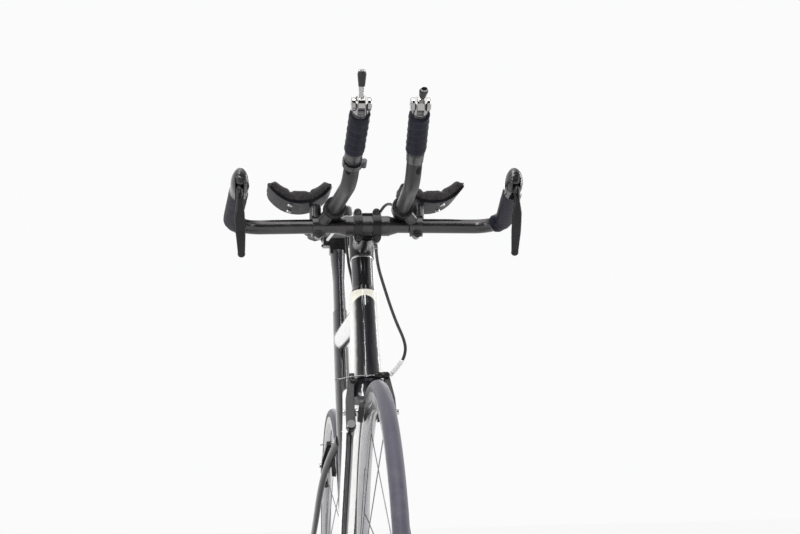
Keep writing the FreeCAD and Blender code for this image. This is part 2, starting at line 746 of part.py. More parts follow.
def qr_lever(spacing, centre):
    """Two round cheeks on the skewer's pin and a curved flat arm that lies rearward when closed."""
    pivot = qr_pivot(spacing)
    half = mm.qr_lever_width / 2
    slot = mm.skewer_radius + mm.seat_gap
    cheek = rod(V(0, pivot, -half), V(0, pivot, half), mm.qr_cheek_radius)
    arm_start = V(-mm.qr_cheek_radius * 0.5, pivot + 1, 0)
    arm_middle = V(-mm.qr_lever_length * 0.55, pivot + 5, 0)
    arm_end = V(-mm.qr_lever_length, pivot + 3, 0)
    sections = [(arm_start, half, 3.6), (arm_middle, half * 0.92, 2.8), (arm_end, half * 0.7, 1.8)]
    wires = [oval(at, UP, deep, LEFT, thin) for at, deep, thin in sections]
    arm = Part.makeLoft(wires, True)
    made = fused([cheek, arm])
    clear = mm.skewer_radius + 1.6 + mm.seat_gap
    room = rod(V(0, pivot, -slot), V(0, pivot, slot), clear)
    reach = mm.qr_cheek_radius + 2
    open_side = block(V(-0.01, pivot - reach, -slot), V(reach, pivot + reach, slot))
    below = block(V(-slot, pivot - reach, -slot), V(reach, pivot, slot))
    above = block(V(-slot, pivot, -slot), V(reach, pivot + reach, slot))
    hole = rod(V(0, pivot, -half - 1), V(0, pivot, half + 1), mm.bolt_radius * 0.8 + mm.running_fit)
    made = made.cut(fused([room, open_side, below, above])).cut(hole)
    made.translate(centre)
    return made


def axle_set(name, spacing, centre, centre_x, right_shoulder):
    """Axle with its skewer on the fixed side, and the quick release lever on its pin."""
    hollow = put(turned(name + "_axle_tube", axle_corners(spacing, cell.locknut_length, right_shoulder)),
                 (centre_x, 0, cell.wheel_radius))
    release = doc.addObject("Part::Feature", name + "_skewer")
    release.Shape = skewer(float(spacing), centre)
    group(name + "_axle", [hollow, release])
    shaped(name + "_qr_lever", qr_lever(float(spacing), centre))


# Sprockets and chain

def sprocket(teeth, thickness, bore):
    """A toothed disc about Y, centred on the origin, with flat-topped teeth."""
    pitch = pitch_radius(teeth)
    step = 2 * math.pi / teeth
    root = pitch - mm.chain_pitch * 0.3
    tip = pitch + mm.chain_pitch * 0.17
    points = []
    for number in range(int(teeth)):
        for share, radius in ((-0.3, root), (-0.1, tip), (0.1, tip), (0.3, root)):
            angle = (number + share) * step
            points.append(V(radius * math.cos(angle), -thickness / 2, radius * math.sin(angle)))
    disc = prism(points, LEFT * thickness)
    return disc.cut(rod(V(0, -thickness, 0), V(0, thickness, 0), bore))


def moved(shape, offset):
    made = shape.copy()
    made.translate(offset)
    return made


guide_pulley = rear_axle + V(mm.guide_ahead, -mm.chain_line, -mm.guide_below)
cage_turn = math.radians(mm.cage_angle)
tension_pulley = guide_pulley + V(math.cos(cage_turn), 0, -math.sin(cage_turn)) * mm.cage_length


def chain_circles():
    """Centre, pitch radius and sense of each wheel that the chain goes round."""
    return [
        (bracket, pitch_radius(mm.outer_teeth), 1),
        (rear_axle, pitch_radius(mm.drive_teeth), 1),
        (guide_pulley, pitch_radius(mm.jockey_teeth), -1),
        (tension_pulley, pitch_radius(mm.jockey_teeth), 1),
    ]


def tangent(first, second):
    """End points of the chain's straight run from one wheel to the next."""
    (centre_a, radius_a, sense_a), (centre_b, radius_b, sense_b) = first, second
    gap = V(centre_b.x - centre_a.x, 0, centre_b.z - centre_a.z)
    heading = math.atan2(gap.z, gap.x)
    swing = math.acos((sense_a * radius_a - sense_b * radius_b) / gap.Length)
    normal_angle = heading - swing
    normal = V(math.cos(normal_angle), 0, math.sin(normal_angle))
    return centre_a + normal * (sense_a * radius_a), centre_b + normal * (sense_b * radius_b)


def chain_route():
    """Straight runs and arcs in order, each as (kind, data, length)."""
    circles = chain_circles()
    runs = [tangent(first, second) for first, second in zip(circles, circles[1:] + circles[:1])]
    route = []
    for number, (start, end) in enumerate(runs):
        route.append(("run", (start, end), (end - start).Length))
        centre, radius, sense = circles[(number + 1) % len(circles)]
        leave = runs[(number + 1) % len(runs)][0]
        begin = math.atan2(end.z - centre.z, end.x - centre.x)
        stop = math.atan2(leave.z - centre.z, leave.x - centre.x)
        swept = (sense * (stop - begin)) % (2 * math.pi)
        route.append(("arc", (centre, radius, begin, sense), radius * swept))
    return route


def route_point(route, distance):
    """Place and outward normal at a distance along the chain, and whether that is on a straight run."""
    for kind, data, length in route:
        if distance <= length:
            break
        distance -= length
    if kind == "run":
        start, end = data
        along = (end - start).normalize()
        return start + along * distance, V(along.z, 0, -along.x), min(distance, length - distance)
    centre, radius, begin, sense = data
    angle = begin + sense * distance / radius
    out = V(math.cos(angle), 0, math.sin(angle))
    return V(centre.x, 0, centre.z) + out * radius, out * sense, -1


def chain():
    """Two rows of waisted link plates with their rollers; the wrapped stretches leave the teeth their room."""
    route = chain_route()
    total = sum(length for kind, data, length in route)
    links = 2 * round(total / mm.chain_pitch / 2)
    step = total / links
    outer = []
    inner = []
    rollers = []
    low = -mm.chain_line - mm.chain_gap / 2
    for half in range(2 * links):
        point, out, clear = route_point(route, half * step / 2)
        height = mm.chain_half_height * (1 if half % 2 == 0 else 0.72)
        flat = V(point.x, 0, point.z)
        outer.append(flat + out * height)
        inner.append(flat - out * height)
        if half % 2 == 0 and clear > mm.chain_pitch * 2.8:
            ring = [flat + V(math.cos(turn), 0, math.sin(turn)) * 3 + LEFT * low
                    for turn in [math.pi / 3 * number for number in range(6)]]
            rollers.append(prism(ring, LEFT * mm.chain_gap))
    loops = [Part.Face(Part.makePolygon(loop + loop[:1])) for loop in (outer, inner)]
    loops.sort(key=lambda face: face.Area)
    band = loops[1].cut(loops[0]).Faces[0]
    plates = []
    for start in (low - mm.chain_plate, low + mm.chain_gap):
        plates.append(moved(band, LEFT * start).extrude(LEFT * mm.chain_plate))
    print("chain links", links, "pitch", round(step, 3))
    return fused(plates + rollers)


def cassette():
    """Ten cogs on their carrier, which runs on the axle."""
    bore = mm.axle_radius + mm.running_fit
    core = mm.hub_radius + 3.5
    first = -mm.chain_line + DRIVE_COG * mm.cog_pitch
    last = first - (len(COG_TEETH) - 1) * mm.cog_pitch
    half_tooth = mm.tooth_thickness / 2
    hub_end = -(mm.rear_flange_right + mm.flange_thickness + mm.bearing_width)
    carrier = rod(V(0, first + half_tooth, 0), V(0, last - half_tooth, 0), core)
    carrier = carrier.cut(rod(V(0, first + 5, 0), V(0, last - 5, 0), bore))
    carrier = carrier.cut(rod(V(0, first + 5, 0), V(0, hub_end - mm.seat_gap, 0), mm.bearing_radius + 2 + mm.seat_gap))
    cogs = []
    for number, teeth in enumerate(COG_TEETH):
        cogs.append(moved(sprocket(teeth, mm.tooth_thickness, core), LEFT * (first - number * mm.cog_pitch)))
    made = Part.makeCompound([carrier] + cogs)
    made.translate(rear_axle)
    return made


def ring_holes(low, high):
    """Room for the five chainring bolts between two planes across the spindle."""
    made = []
    for number in range(5):
        turn = math.radians(72 * number + 36)
        at = V(math.cos(turn) * mm.bolt_circle, 0, math.sin(turn) * mm.bolt_circle)
        made.append(rod(at + LEFT * low, at + LEFT * high, mm.bolt_radius + 1.6))
    return made


def chainring(teeth, at):
    """A chainring with bolt holes and a lighter web between its bolts."""
    disc = moved(sprocket(teeth, mm.tooth_thickness, mm.ring_bore), LEFT * at)
    for hole in ring_holes(at - 5, at + 5):
        disc = disc.cut(hole)
    rim = pitch_radius(teeth) - mm.chain_pitch
    slots = []
    for number in range(5):
        turn = 72 * number + 72
        middle = (mm.bolt_circle + 6 + rim) / 2
        spot = V(math.cos(math.radians(turn)) * middle, 0, math.sin(math.radians(turn)) * middle)
        size = rim - mm.bolt_circle - 8
        if size > 6:
            slots.append(rod(spot + LEFT * (at - 5), spot + LEFT * (at + 5), size / 2))
    for slot in slots:
        disc = disc.cut(slot)
    return moved(disc, bracket)


def crank_arm(side):
    """A tapering crank from the spindle to the pedal, forward on the right and rearward on the left."""
    ahead = -side
    inner = mm.crank_inner
    tip = V(ahead * mm.crank_length, 0, 0)
    low = V(0, side * inner, 0)
    high = V(0, side * (inner + mm.crank_thickness), 0)
    hub = rod(low, high, mm.crank_hub_radius)
    end = rod(tip + low, tip + high, mm.crank_tip_radius)
    middle_y = side * (inner + mm.crank_thickness / 2)
    wires = []
    for share in (0.06, 0.3, 0.94):
        half_height = mm.crank_hub_radius * (1 - share) * 0.8 + mm.crank_tip_radius * share * 0.9
        at = V(ahead * mm.crank_length * share, middle_y, 0)
        wires.append(oval(at, UP, half_height, LEFT, mm.crank_thickness * 0.44))
    return fused([hub, end, Part.makeLoft(wires, True)])


ring_outer_y = -mm.chain_line
ring_inner_y = -mm.chain_line + mm.ring_gap
spider_low = ring_outer_y + mm.tooth_thickness / 2
spider_high = ring_inner_y - mm.tooth_thickness / 2


def crank_right():
    """Right crank with its five-armed spider and the spindle pressed into it."""
    arms = [rod(V(0, spider_low, 0), V(0, spider_high, 0), mm.crank_hub_radius + 2)]
    for number in range(5):
        turn = 72 * number + 36
        spread = block(V(0, spider_low, -8), V(mm.bolt_circle, spider_high, 8))
        tab = rod(V(mm.bolt_circle, spider_low, 0), V(mm.bolt_circle, spider_high, 0), 8)
        for piece in (spread, tab):
            piece.rotate(V(0, 0, 0), V(0, -1, 0), turn)
            arms.append(piece)
    neck = rod(V(0, spider_low, 0), V(0, -mm.crank_inner - 1, 0), mm.crank_hub_radius)
    spindle = rod(V(0, -mm.crank_inner, 0), V(0, mm.crank_inner + mm.crank_thickness, 0), mm.spindle_radius)
    made = fused([crank_arm(-1), neck, spindle] + arms)
    for hole in ring_holes(spider_low - 1, spider_high + 1):
        made = made.cut(hole)
    return moved(made.cut(pedal_hole(-1)), bracket)


def pedal_hole(side):
    tip = V(-side * mm.crank_length, 0, 0)
    return rod(tip, tip + LEFT * side * 200, mm.pedal_axle_radius)


def crank_left():
    """Left crank, clamped on the spindle's end."""
    bore = rod(V(0, 0, 0), LEFT * 200, mm.spindle_radius)
    return moved(crank_arm(1).cut(bore).cut(pedal_hole(1)), bracket)


def ring_bolts():
    """Chainring bolts with their heads outside the outer ring."""
    made = []
    low = ring_outer_y - mm.tooth_thickness / 2
    high = ring_inner_y + mm.tooth_thickness / 2
    for number in range(5):
        turn = math.radians(72 * number + 36)
        at = bracket + V(math.cos(turn) * mm.bolt_circle, 0, math.sin(turn) * mm.bolt_circle)
        shank = rod(at + LEFT * low, at + LEFT * high, mm.bolt_radius + 1.5)
        head = rod(at + LEFT * (low - 1.6), at + LEFT * low, mm.bolt_radius + 3.2)
        made.append(fused([shank, head]))
    return Part.makeCompound(made)


def pedal_centre(side):
    """Middle of a pedal's body."""
    out = mm.crank_inner + mm.crank_thickness + 4 + mm.pedal_width / 2
    return bracket + V(-side * mm.crank_length, side * out, 0)


def pedal_axles():
    """Both pedal axles, screwed into the cranks."""
    made = []
    for side in SIDES:
        tip = bracket + V(-side * mm.crank_length, 0, 0)
        root = tip + LEFT * side * mm.crank_inner
        face = tip + LEFT * side * (mm.crank_inner + mm.crank_thickness)
        end = face + LEFT * side * mm.pedal_axle_length
        collar = rod(face, face + LEFT * side * 3, mm.pedal_axle_radius + 2.5)
        made.append(fused([rod(root + LEFT * side * 0.0, end, mm.pedal_axle_radius), collar]))
    return Part.makeCompound(made)


def pedal(side):
    """A race pedal: a slim body round its axle, longer at the front, with an open window at the rear."""
    middle = pedal_centre(side)
    half = mm.pedal_width / 2
    core = rod(middle - LEFT * half, middle + LEFT * half, mm.pedal_height / 2)
    wires = []
    for share, wide, high in ((-0.5, 0.55, 0.3), (-0.2, 0.95, 0.75), (0.2, 0.95, 0.8), (0.5, 0.6, 0.35)):
        at = middle + AHEAD * mm.pedal_length * share
        wires.append(oval(at, LEFT, half * wide, UP, mm.pedal_height / 2 * high))
    body_shape = Part.makeLoft(wires, True)
    window = block(middle + V(-mm.pedal_length * 0.4, -half * 0.45, -50), middle + V(-mm.pedal_height * 0.62, half * 0.45, 50))
    bore = rod(middle - LEFT * 100, middle + LEFT * 100, mm.pedal_axle_radius + mm.running_fit)
    return fused([core.cut(bore), body_shape.cut(window).cut(bore)])


# Frame

stay_top = seat_line(mm.seatstay_join_z)
rear_brake_up = V(stay_top.x - rear_axle.x, 0, stay_top.z - rear_axle.z).normalize()
rear_brake_out = V(-rear_brake_up.z, 0, rear_brake_up.x)
blade_top = along_steer(mm.crown_height - mm.crown_depth / 2)
front_brake_up = (blade_top - front_axle).normalize()
front_brake_out = V(front_brake_up.z, 0, -front_brake_up.x)
rear_brake_root = rear_axle + rear_brake_up * mm.brake_radius
front_brake_root = front_axle + front_brake_up * mm.brake_radius


def brake_posts(root, out):
    """Two brazed bosses with pivot posts and the heads that hold the arms."""
    made = []
    arm_start = mm.brake_stand + mm.seat_gap
    arm_end = arm_start + mm.brake_arm_thickness
    for side in SIDES:
        foot = root + LEFT * side * mm.brake_half
        made.append(rod(foot - out * 4, foot + out * mm.brake_stand, mm.brake_post_radius + 2.5))
        made.append(rod(foot, foot + out * (arm_end + mm.seat_gap + 1), mm.brake_post_radius))
        made.append(rod(foot + out * (arm_end + mm.seat_gap), foot + out * (arm_end + 3.5), mm.brake_post_radius + 2.5))
    return made


def dropout(centre, side, half_spacing):
    """A round plate beside the axle."""
    inner = centre + LEFT * side * half_spacing
    return rod(inner, inner + LEFT * side * mm.dropout_thickness, mm.dropout_radius)


def dropout_faces(centre, half_spacing, radius):
    """Flat faces inside and outside both dropouts, as room for the hub, nut and cam housing."""
    outside = half_spacing + mm.dropout_thickness
    made = [rod(centre - LEFT * half_spacing, centre + LEFT * half_spacing, radius)]
    for side in SIDES:
        face = centre + LEFT * side * outside
        made.append(rod(face, face + LEFT * side * 30, mm.dropout_radius - 1))
    return made


def axle_slot(centre, half_spacing):
    """An open slot, downward from the axle, through both dropouts."""
    reach = half_spacing + 40
    width = mm.axle_stub_radius + 0.1
    across = rod(centre - LEFT * reach, centre + LEFT * reach, width)
    mouth = block(centre + V(-width, -reach, -60), centre + V(width, reach, 0))
    return fused([across, mouth])


def head_tube():
    """The head tube, waisted and deeper than wide, along the steering axis."""
    sections = [
        (mm.head_bottom, mm.head_width_bottom, mm.head_width_bottom + 2, 0),
        (mm.head_bottom + mm.head_length * 0.3, mm.head_width_top + 6, mm.head_depth, -4),
        (mm.head_bottom + mm.head_length * 0.75, mm.head_width_top + 3, mm.head_depth - 2, -4),
        (head_top, mm.head_width_top, mm.head_width_top + 2, 0),
    ]
    wires = [oval(along_steer(at, shift), steer_ahead, deep / 2, LEFT, wide / 2) for at, wide, deep, shift in sections]
    return Part.makeLoft(wires, True)


def chainstay(side):
    """A chainstay that passes the tyre and the chainrings, then opens out to the dropout."""
    start = bracket + V(-4, side * 18, 0)
    run = rear_axle - bracket
    past_rings = bracket + run * 0.24 + LEFT * side * 22
    waist = bracket + run * 0.55 + LEFT * side * 39
    half_spacing = mm.rear_spacing / 2 + mm.dropout_thickness / 2
    end = rear_axle + V(6, side * half_spacing, -2)
    width = mm.chainstay_width / 2
    depth = mm.chainstay_depth / 2
    return aero_tube([(start, width + 1, depth + 4), (past_rings, width, depth), (waist, width, depth * 0.85),
                      (end, mm.dropout_thickness / 2, depth * 0.6)])


def seatstay(side):
    """A low, slim seatstay from the seat tube to the dropout."""
    half_spacing = mm.rear_spacing / 2 + mm.dropout_thickness / 2
    start = stay_top + V(4, side * 11, 2)
    end = rear_axle + V(3, side * half_spacing, 4)
    width = mm.seatstay_width / 2
    depth = mm.seatstay_depth / 2
    bridge = start + (end - start) * 0.12 + LEFT * side * 7
    waist = start + (end - start) * 0.5 + LEFT * side * 4
    return aero_tube([(start, width, depth + 3), (bridge, width, depth), (waist, width * 0.95, depth * 0.95),
                      (end, mm.dropout_thickness / 2, depth * 0.7)])


def post_stations(extra):
    """Stations of the seat post, grown by a clearance."""
    half_width = mm.post_width / 2 + extra
    half_depth = mm.post_depth / 2 + extra
    low = seat_line(mm.seat_tube_top - mm.post_insertion)
    return [(low, half_width, half_depth), (seat_line(mm.post_top), half_width, half_depth)]


def seat_post():
    """The post, flared under the saddle clamp."""
    half_width = mm.post_width / 2
    half_depth = mm.post_depth / 2 - 0.2
    along = (seat_line(mm.post_top) - bracket).normalize()
    low = seat_line(mm.post_top - mm.post_flare_length)
    wires = [oval(at, LEFT.cross(along), half_depth, LEFT, half_width + grow)
             for at, grow in ((low, -0.2), (seat_line(mm.post_top), mm.post_flare))]
    return fused([aero_tube(post_stations(0)), Part.makeLoft(wires, True, True)])


def frame():
    """The one-piece frame, with its bores, slots, bosses and derailleur hanger."""
    top_front = V(along_steer(mm.head_bottom + mm.head_length * 0.8).x, 0, mm.top_tube_head_z)
    top_rear = seat_line(mm.top_tube_seat_z)
    top_half = (mm.top_tube_width / 2, mm.top_tube_depth / 2)
    top = aero_tube([(top_front, top_half[0], top_half[1]),
                     (top_front * 0.4 + top_rear * 0.6, top_half[0] * 0.86, top_half[1] * 0.92),
                     (top_rear, mm.seat_tube_width / 2 * 0.95, top_half[1] * 0.95)])
    down_front = along_steer(mm.head_bottom + 50, -6)
    down_half = (mm.down_tube_width / 2, mm.down_tube_depth / 2)
    down = aero_tube([(down_front, down_half[0], down_half[1]),
                      (down_front * 0.5 + bracket * 0.5, down_half[0], down_half[1]),
                      (bracket, down_half[0], mm.bb_shell_radius * 0.95)])
    seat_half = (mm.seat_tube_width / 2, mm.seat_tube_depth / 2)
    seat = aero_tube([(bracket + UP * 2, seat_half[0] + 4, mm.bb_shell_radius),
                      (seat_line(mm.seatstay_join_z * 0.75), seat_half[0], seat_half[1] * 0.9),
                      (seat_line(mm.seatstay_join_z + 40), seat_half[0], seat_half[1]),
                      (seat_line(mm.seat_tube_top), seat_half[0], seat_half[1])])
    shell_half = LEFT * (mm.bb_shell_width / 2)
    shell = rod(bracket - shell_half, bracket + shell_half, mm.bb_shell_radius)
    pieces = [seat, head_tube(), top, down, shell]
    half_rear = mm.rear_spacing / 2
    for side in SIDES:
        pieces += [chainstay(side), seatstay(side), dropout(rear_axle, side, half_rear)]
    hanger_top = rear_axle - LEFT * (half_rear + mm.dropout_thickness)
    hanger = rod(hanger_top + V(-7, 0, -mm.hanger_drop), hanger_top + V(-7, mm.dropout_thickness, -mm.hanger_drop), 8)
    neck = block(hanger_top + V(-13, 0, -mm.hanger_drop), hanger_top + V(-5.5, mm.dropout_thickness, -8))
    pieces += [hanger, neck] + brake_posts(rear_brake_root, rear_brake_out)
    made = fused(pieces)
    low = along_steer(mm.head_bottom - 5)
    cuts = [
        rod(low, along_steer(head_top + 5), mm.head_bore),
        rod(bracket - LEFT * 100, bracket + LEFT * 100, mm.bb_bore),
        aero_tube(post_stations(mm.post_fit)),
        axle_slot(rear_axle, half_rear),
        rod(hanger_top + V(-7, -20, -mm.hanger_drop), hanger_top + V(-7, 20, -mm.hanger_drop), 4.6),
    ]
    cuts += dropout_faces(rear_axle, half_rear, mm.dropout_radius + 19)
    for at in boss_points():
        cuts.append(rod(at + boss_out * 20, at - boss_out * mm.boss_depth, mm.boss_hole))
    for cut in cuts:
        made = made.cut(cut)
    return made


down_line = (along_steer(mm.head_bottom + 50, -6) - bracket).normalize()
boss_out = V(-down_line.z, 0, down_line.x)


def boss_points():
    """Two bottle bosses on the down tube's upper face."""
    middle = bracket + down_line * 250 + boss_out * (mm.down_tube_depth / 2)
    return [middle + down_line * shift for shift in (-mm.boss_spacing / 2, mm.boss_spacing / 2)]


def saddle_clamp():
    """The head of the post: a cradle under the rails, two side cheeks and the bolt across."""
    top = seat_line(mm.post_top)
    low = V(top.x - 19, -mm.rail_half + mm.rail_radius + 2, mm.post_top)
    high = V(top.x + 19, mm.rail_half - mm.rail_radius - 2, mm.rail_z + 6)
    cradle = block(low, high)
    rail = [rod(V(top.x - 40, side * mm.rail_half, mm.rail_z), V(top.x + 40, side * mm.rail_half, mm.rail_z),
                mm.rail_radius + 0.1) for side in SIDES]
    cheeks = []
    for side in SIDES:
        inner = side * (mm.rail_half - mm.rail_radius - 2)
        outer = side * (mm.rail_half + mm.rail_radius + 4)
        cheek = block(V(top.x - 19, min(inner, outer), mm.rail_z - 9), V(top.x + 19, max(inner, outer), mm.rail_z + 9))
        cheeks.append(cheek)
    reach = mm.rail_half + mm.rail_radius + 7
    bolt_z = mm.rail_z - 6.5
    bolt = rod(V(top.x, -reach, bolt_z), V(top.x, reach, bolt_z), mm.bolt_radius)
    made = fused([cradle] + cheeks + [bolt])
    for cut in rail + [seat_post()]:
        made = made.cut(cut)
    return made


def saddle_stations():
    """Share of the length from the nose, half width and height drop of the saddle's top."""
    nose = mm.saddle_nose_width / 2
    tail = mm.saddle_width / 2
    return [(0.0, nose * 0.55, 8), (0.06, nose * 0.9, 3), (0.3, nose, 1), (0.52, nose * 1.35, 3),
            (0.74, tail * 0.9, 1), (0.9, tail, 0), (1.0, tail * 0.72, 5)]


def saddle_section(share, half, drop, top, thickness, tuck):
    """A crowned section: an arc over the top, short arcs down the sides and a hollow arc beneath."""
    x = mm.saddle_nose_x - mm.saddle_length * share
    crown = half * 0.16
    high = top - drop
    side_z = high - crown - thickness * 0.45
    low_z = high - crown - thickness
    over = Part.Arc(V(x, -half * 0.94, high - crown), V(x, 0, high), V(x, half * 0.94, high - crown))
    left = Part.Arc(V(x, half * 0.94, high - crown), V(x, half, side_z), V(x, half * tuck, low_z))
    under = Part.Arc(V(x, half * tuck, low_z), V(x, 0, low_z + crown * 0.8), V(x, -half * tuck, low_z))
    right = Part.Arc(V(x, -half * tuck, low_z), V(x, -half, side_z), V(x, -half * 0.94, high - crown))
    return Part.Wire([edge.toShape() for edge in (over, left, under, right)])


def saddle_pad():
    """The padding: crowned, with sides that draw in towards the shell."""
    wires = [saddle_section(share, half, drop, mm.saddle_top_z, mm.saddle_padding, 0.86)
             for share, half, drop in saddle_stations()]
    return Part.makeLoft(wires, True)


def saddle_shell():
    """The shell under the padding, with the same outline drawn in."""
    wires = []
    for share, half, drop in saddle_stations():
        x = mm.saddle_nose_x - mm.saddle_length * (0.02 + share * 0.96)
        inner = half * 0.84
        crown = half * 0.16
        low_z = mm.saddle_top_z - drop - crown - mm.saddle_padding - mm.seat_gap
        lift = crown * 0.8
        thick = mm.saddle_shell_thickness
        upper = Part.Arc(V(x, -inner, low_z), V(x, 0, low_z + lift * 0.9), V(x, inner, low_z))
        lower = Part.Arc(V(x, inner, low_z - thick), V(x, 0, low_z + lift * 0.9 - thick), V(x, -inner, low_z - thick))
        wires.append(Part.Wire([
            upper.toShape(),
            Part.LineSegment(V(x, inner, low_z), V(x, inner, low_z - thick)).toShape(),
            lower.toShape(),
            Part.LineSegment(V(x, -inner, low_z - thick), V(x, -inner, low_z)).toShape(),
        ]))
    return Part.makeLoft(wires, True)


def saddle_rails(shell):
    """Two rails bent up into the shell at the nose and the tail."""
    middle = seat_line(mm.rail_z).x
    nose = mm.saddle_nose_x - mm.saddle_length * 0.16
    tail = mm.saddle_nose_x - mm.saddle_length * 0.86
    top = mm.saddle_top_z - mm.saddle_padding - mm.saddle_shell_thickness - 2
    points = [V(nose, 9, top), V(nose - 22, 12, mm.rail_z + 6), V(middle + 52, mm.rail_half, mm.rail_z),
              V(middle - 46, mm.rail_half, mm.rail_z), V(tail, 34, top)]
    bar = piped(rounded_path(points, share=0.4), mm.rail_radius)
    return both(bar.cut(shell))


# Fork, headset and stem

def fork():
    """Carbon fork: steerer, crown, two raked aero blades, dropouts and brake bosses."""
    crown_top = mm.crown_height
    crown_low = mm.crown_height - mm.crown_depth
    half_tip = mm.front_spacing / 2 + mm.dropout_thickness / 2
    outer = mm.blade_top_half + mm.blade_width_top / 2
    crown_sections = [(crown_low, outer, mm.blade_depth_top / 2), (crown_top - 10, outer * 0.86, mm.blade_depth_top * 0.5),
                      (crown_top, mm.head_width_bottom / 2, mm.head_width_bottom / 2 - 0.5)]
    crown = Part.makeLoft([oval(along_steer(at), LEFT, wide, steer_ahead, deep) for at, wide, deep in crown_sections], True)
    steerer = rod(along_steer(crown_top - 5), along_steer(stem_top), mm.steerer_radius)
    pieces = [crown, steerer]
    for side in SIDES:
        width = mm.blade_width_top / 2
        depth = mm.blade_depth_top / 2
        stations = [
            (along_steer(crown_low + 12, 0, side * mm.blade_top_half), width, depth),
            (along_steer(crown_low * 0.72, 3, side * (mm.blade_top_half + 6)), width, depth * 0.95),
            (along_steer(crown_low * 0.35, 14, side * (half_tip - 5)), width * 0.85, depth * 0.75),
            (along_steer(0, mm.fork_rake, side * half_tip), mm.blade_width_tip / 2, mm.blade_depth_tip / 2),
        ]
        pieces += [aero_tube(stations), dropout(front_axle, side, mm.front_spacing / 2)]
    pieces += brake_posts(front_brake_root, front_brake_out)
    made = fused(pieces)
    bore = rod(along_steer(crown_top + 10), along_steer(stem_top + 1), mm.steerer_radius - 3)
    half_front = mm.front_spacing / 2
    for cut in dropout_faces(front_axle, half_front, mm.dropout_radius + 8) + [axle_slot(front_axle, half_front), bore]:
        made = made.cut(cut)
    return made


def ring_corners(inner, outer_low, outer_high, low, high):
    """A plain or conical ring about the steering axis."""
    return [(inner, low), (outer_low, low), (outer_high, high), (inner, high)]


def steered(label, corners):
    """A turned body on the steering axis."""
    tilt = Dim(90 - mm.head_angle, "(90 - Sizes.head_angle)")
    made = turned(label, corners, "Z")
    rake_x = Dim(mm.fork_rake * math.cos(lean), "(Sizes.fork_rake * sin(Sizes.head_angle * 1 deg))")
    rake_z = Dim(mm.fork_rake * math.sin(lean), "(Sizes.fork_rake * cos(Sizes.head_angle * 1 deg))")
    return put(made, (half_base - rake_x, 0, cell.wheel_radius - rake_z), tilt)


def headset():
    """Bearings in the head tube; cover, spacers and the bright ring on the steerer."""
    inner = cell.steerer_radius + cell.running_fit
    low = cell.head_bottom + 2
    high = cell.head_bottom + cell.head_length - 2
    lower = steered("lower_bearing", ring_corners(inner, cell.head_bore, cell.head_bore, low, low + cell.bearing_height))
    upper = steered("upper_bearing", ring_corners(inner, cell.head_bore, cell.head_bore, high - cell.bearing_height, high))
    group("headset_bearings", [lower, upper])
    bore = cell.steerer_radius
    level = cell.head_bottom + cell.head_length + cell.seat_gap
    members = [steered("headset_cover", ring_corners(bore, cell.cover_radius, cell.spacer_radius, level,
                                                     level + cell.cover_height))]
    level = level + cell.cover_height
    for number in range(int(mm.spacer_count)):
        following = level + cell.spacer_height
        members.append(steered("spacer_%d" % (number + 1), ring_corners(bore, cell.spacer_radius, cell.spacer_radius,
                                                                      level, following)))
        level = following
    ring_top = level + cell.spacer_ring_height
    ring_radius = cell.spacer_radius + 0.8
    members.append(steered("spacer_ring", ring_corners(bore, ring_radius, ring_radius, level, ring_top)))
    cap_level = ring_top + cell.stem_height
    cap_corners = [(0, cap_level), (cell.spacer_radius, cap_level), (cell.spacer_radius * 0.8, cap_level + cell.stem_cap_height),
                   (0, cap_level + cell.stem_cap_height)]
    members.append(steered("stem_cap", cap_corners))
    group("headset_spacers", members)


def stem():
    """Steerer clamp, arm and the rear half of the bar clamp."""
    clamp = rod(along_steer(spacers_top), along_steer(stem_top), mm.stem_radius)
    root = along_steer((spacers_top + stem_top) / 2)
    wires = []
    along = (bar_middle - root).normalize()
    upright = along.cross(LEFT) * -1
    for share, wide, high in ((0.0, 16, 17), (0.45, 15.5, 18.5), (0.88, 19, 20.5)):
        at = root + (bar_middle - root) * share
        wires.append(oval(at, upright, high, LEFT, wide))
    arm = Part.makeLoft(wires, True)
    half = mm.strap_offset + mm.strap_width / 2
    outer = mm.bar_clamp_radius + mm.strap_wall
    jaw = rod(bar_middle - LEFT * half, bar_middle + LEFT * half, outer)
    ears = []
    for side in SIDES:
        for rise in SIDES:
            at = bar_middle + V(0, side * mm.strap_offset, rise * mm.strap_bolt_offset)
            ears.append(rod(at - AHEAD * 14, at - AHEAD * 0.4, mm.strap_width / 2 - 0.6))
    made = fused([clamp, arm, jaw] + ears)
    front = block(bar_middle + V(-0.4, -60, -60), bar_middle + V(60, 60, 60))
    bar_hole = rod(bar_middle - LEFT * 80, bar_middle + LEFT * 80, mm.bar_clamp_radius)
    bore = rod(along_steer(spacers_top - 20), along_steer(stem_top + 20), mm.steerer_radius)
    made = made.cut(front).cut(bar_hole).cut(bore)
    for at in strap_bolts():
        made = made.cut(rod(at - AHEAD * 30, at + AHEAD * 30, mm.bolt_radius + 0.1))
    return made


def strap_bolts():
    """Centres of the four strap bolts."""
    return [bar_middle + V(0, side * mm.strap_offset, rise * mm.strap_bolt_offset) for side in SIDES for rise in SIDES]


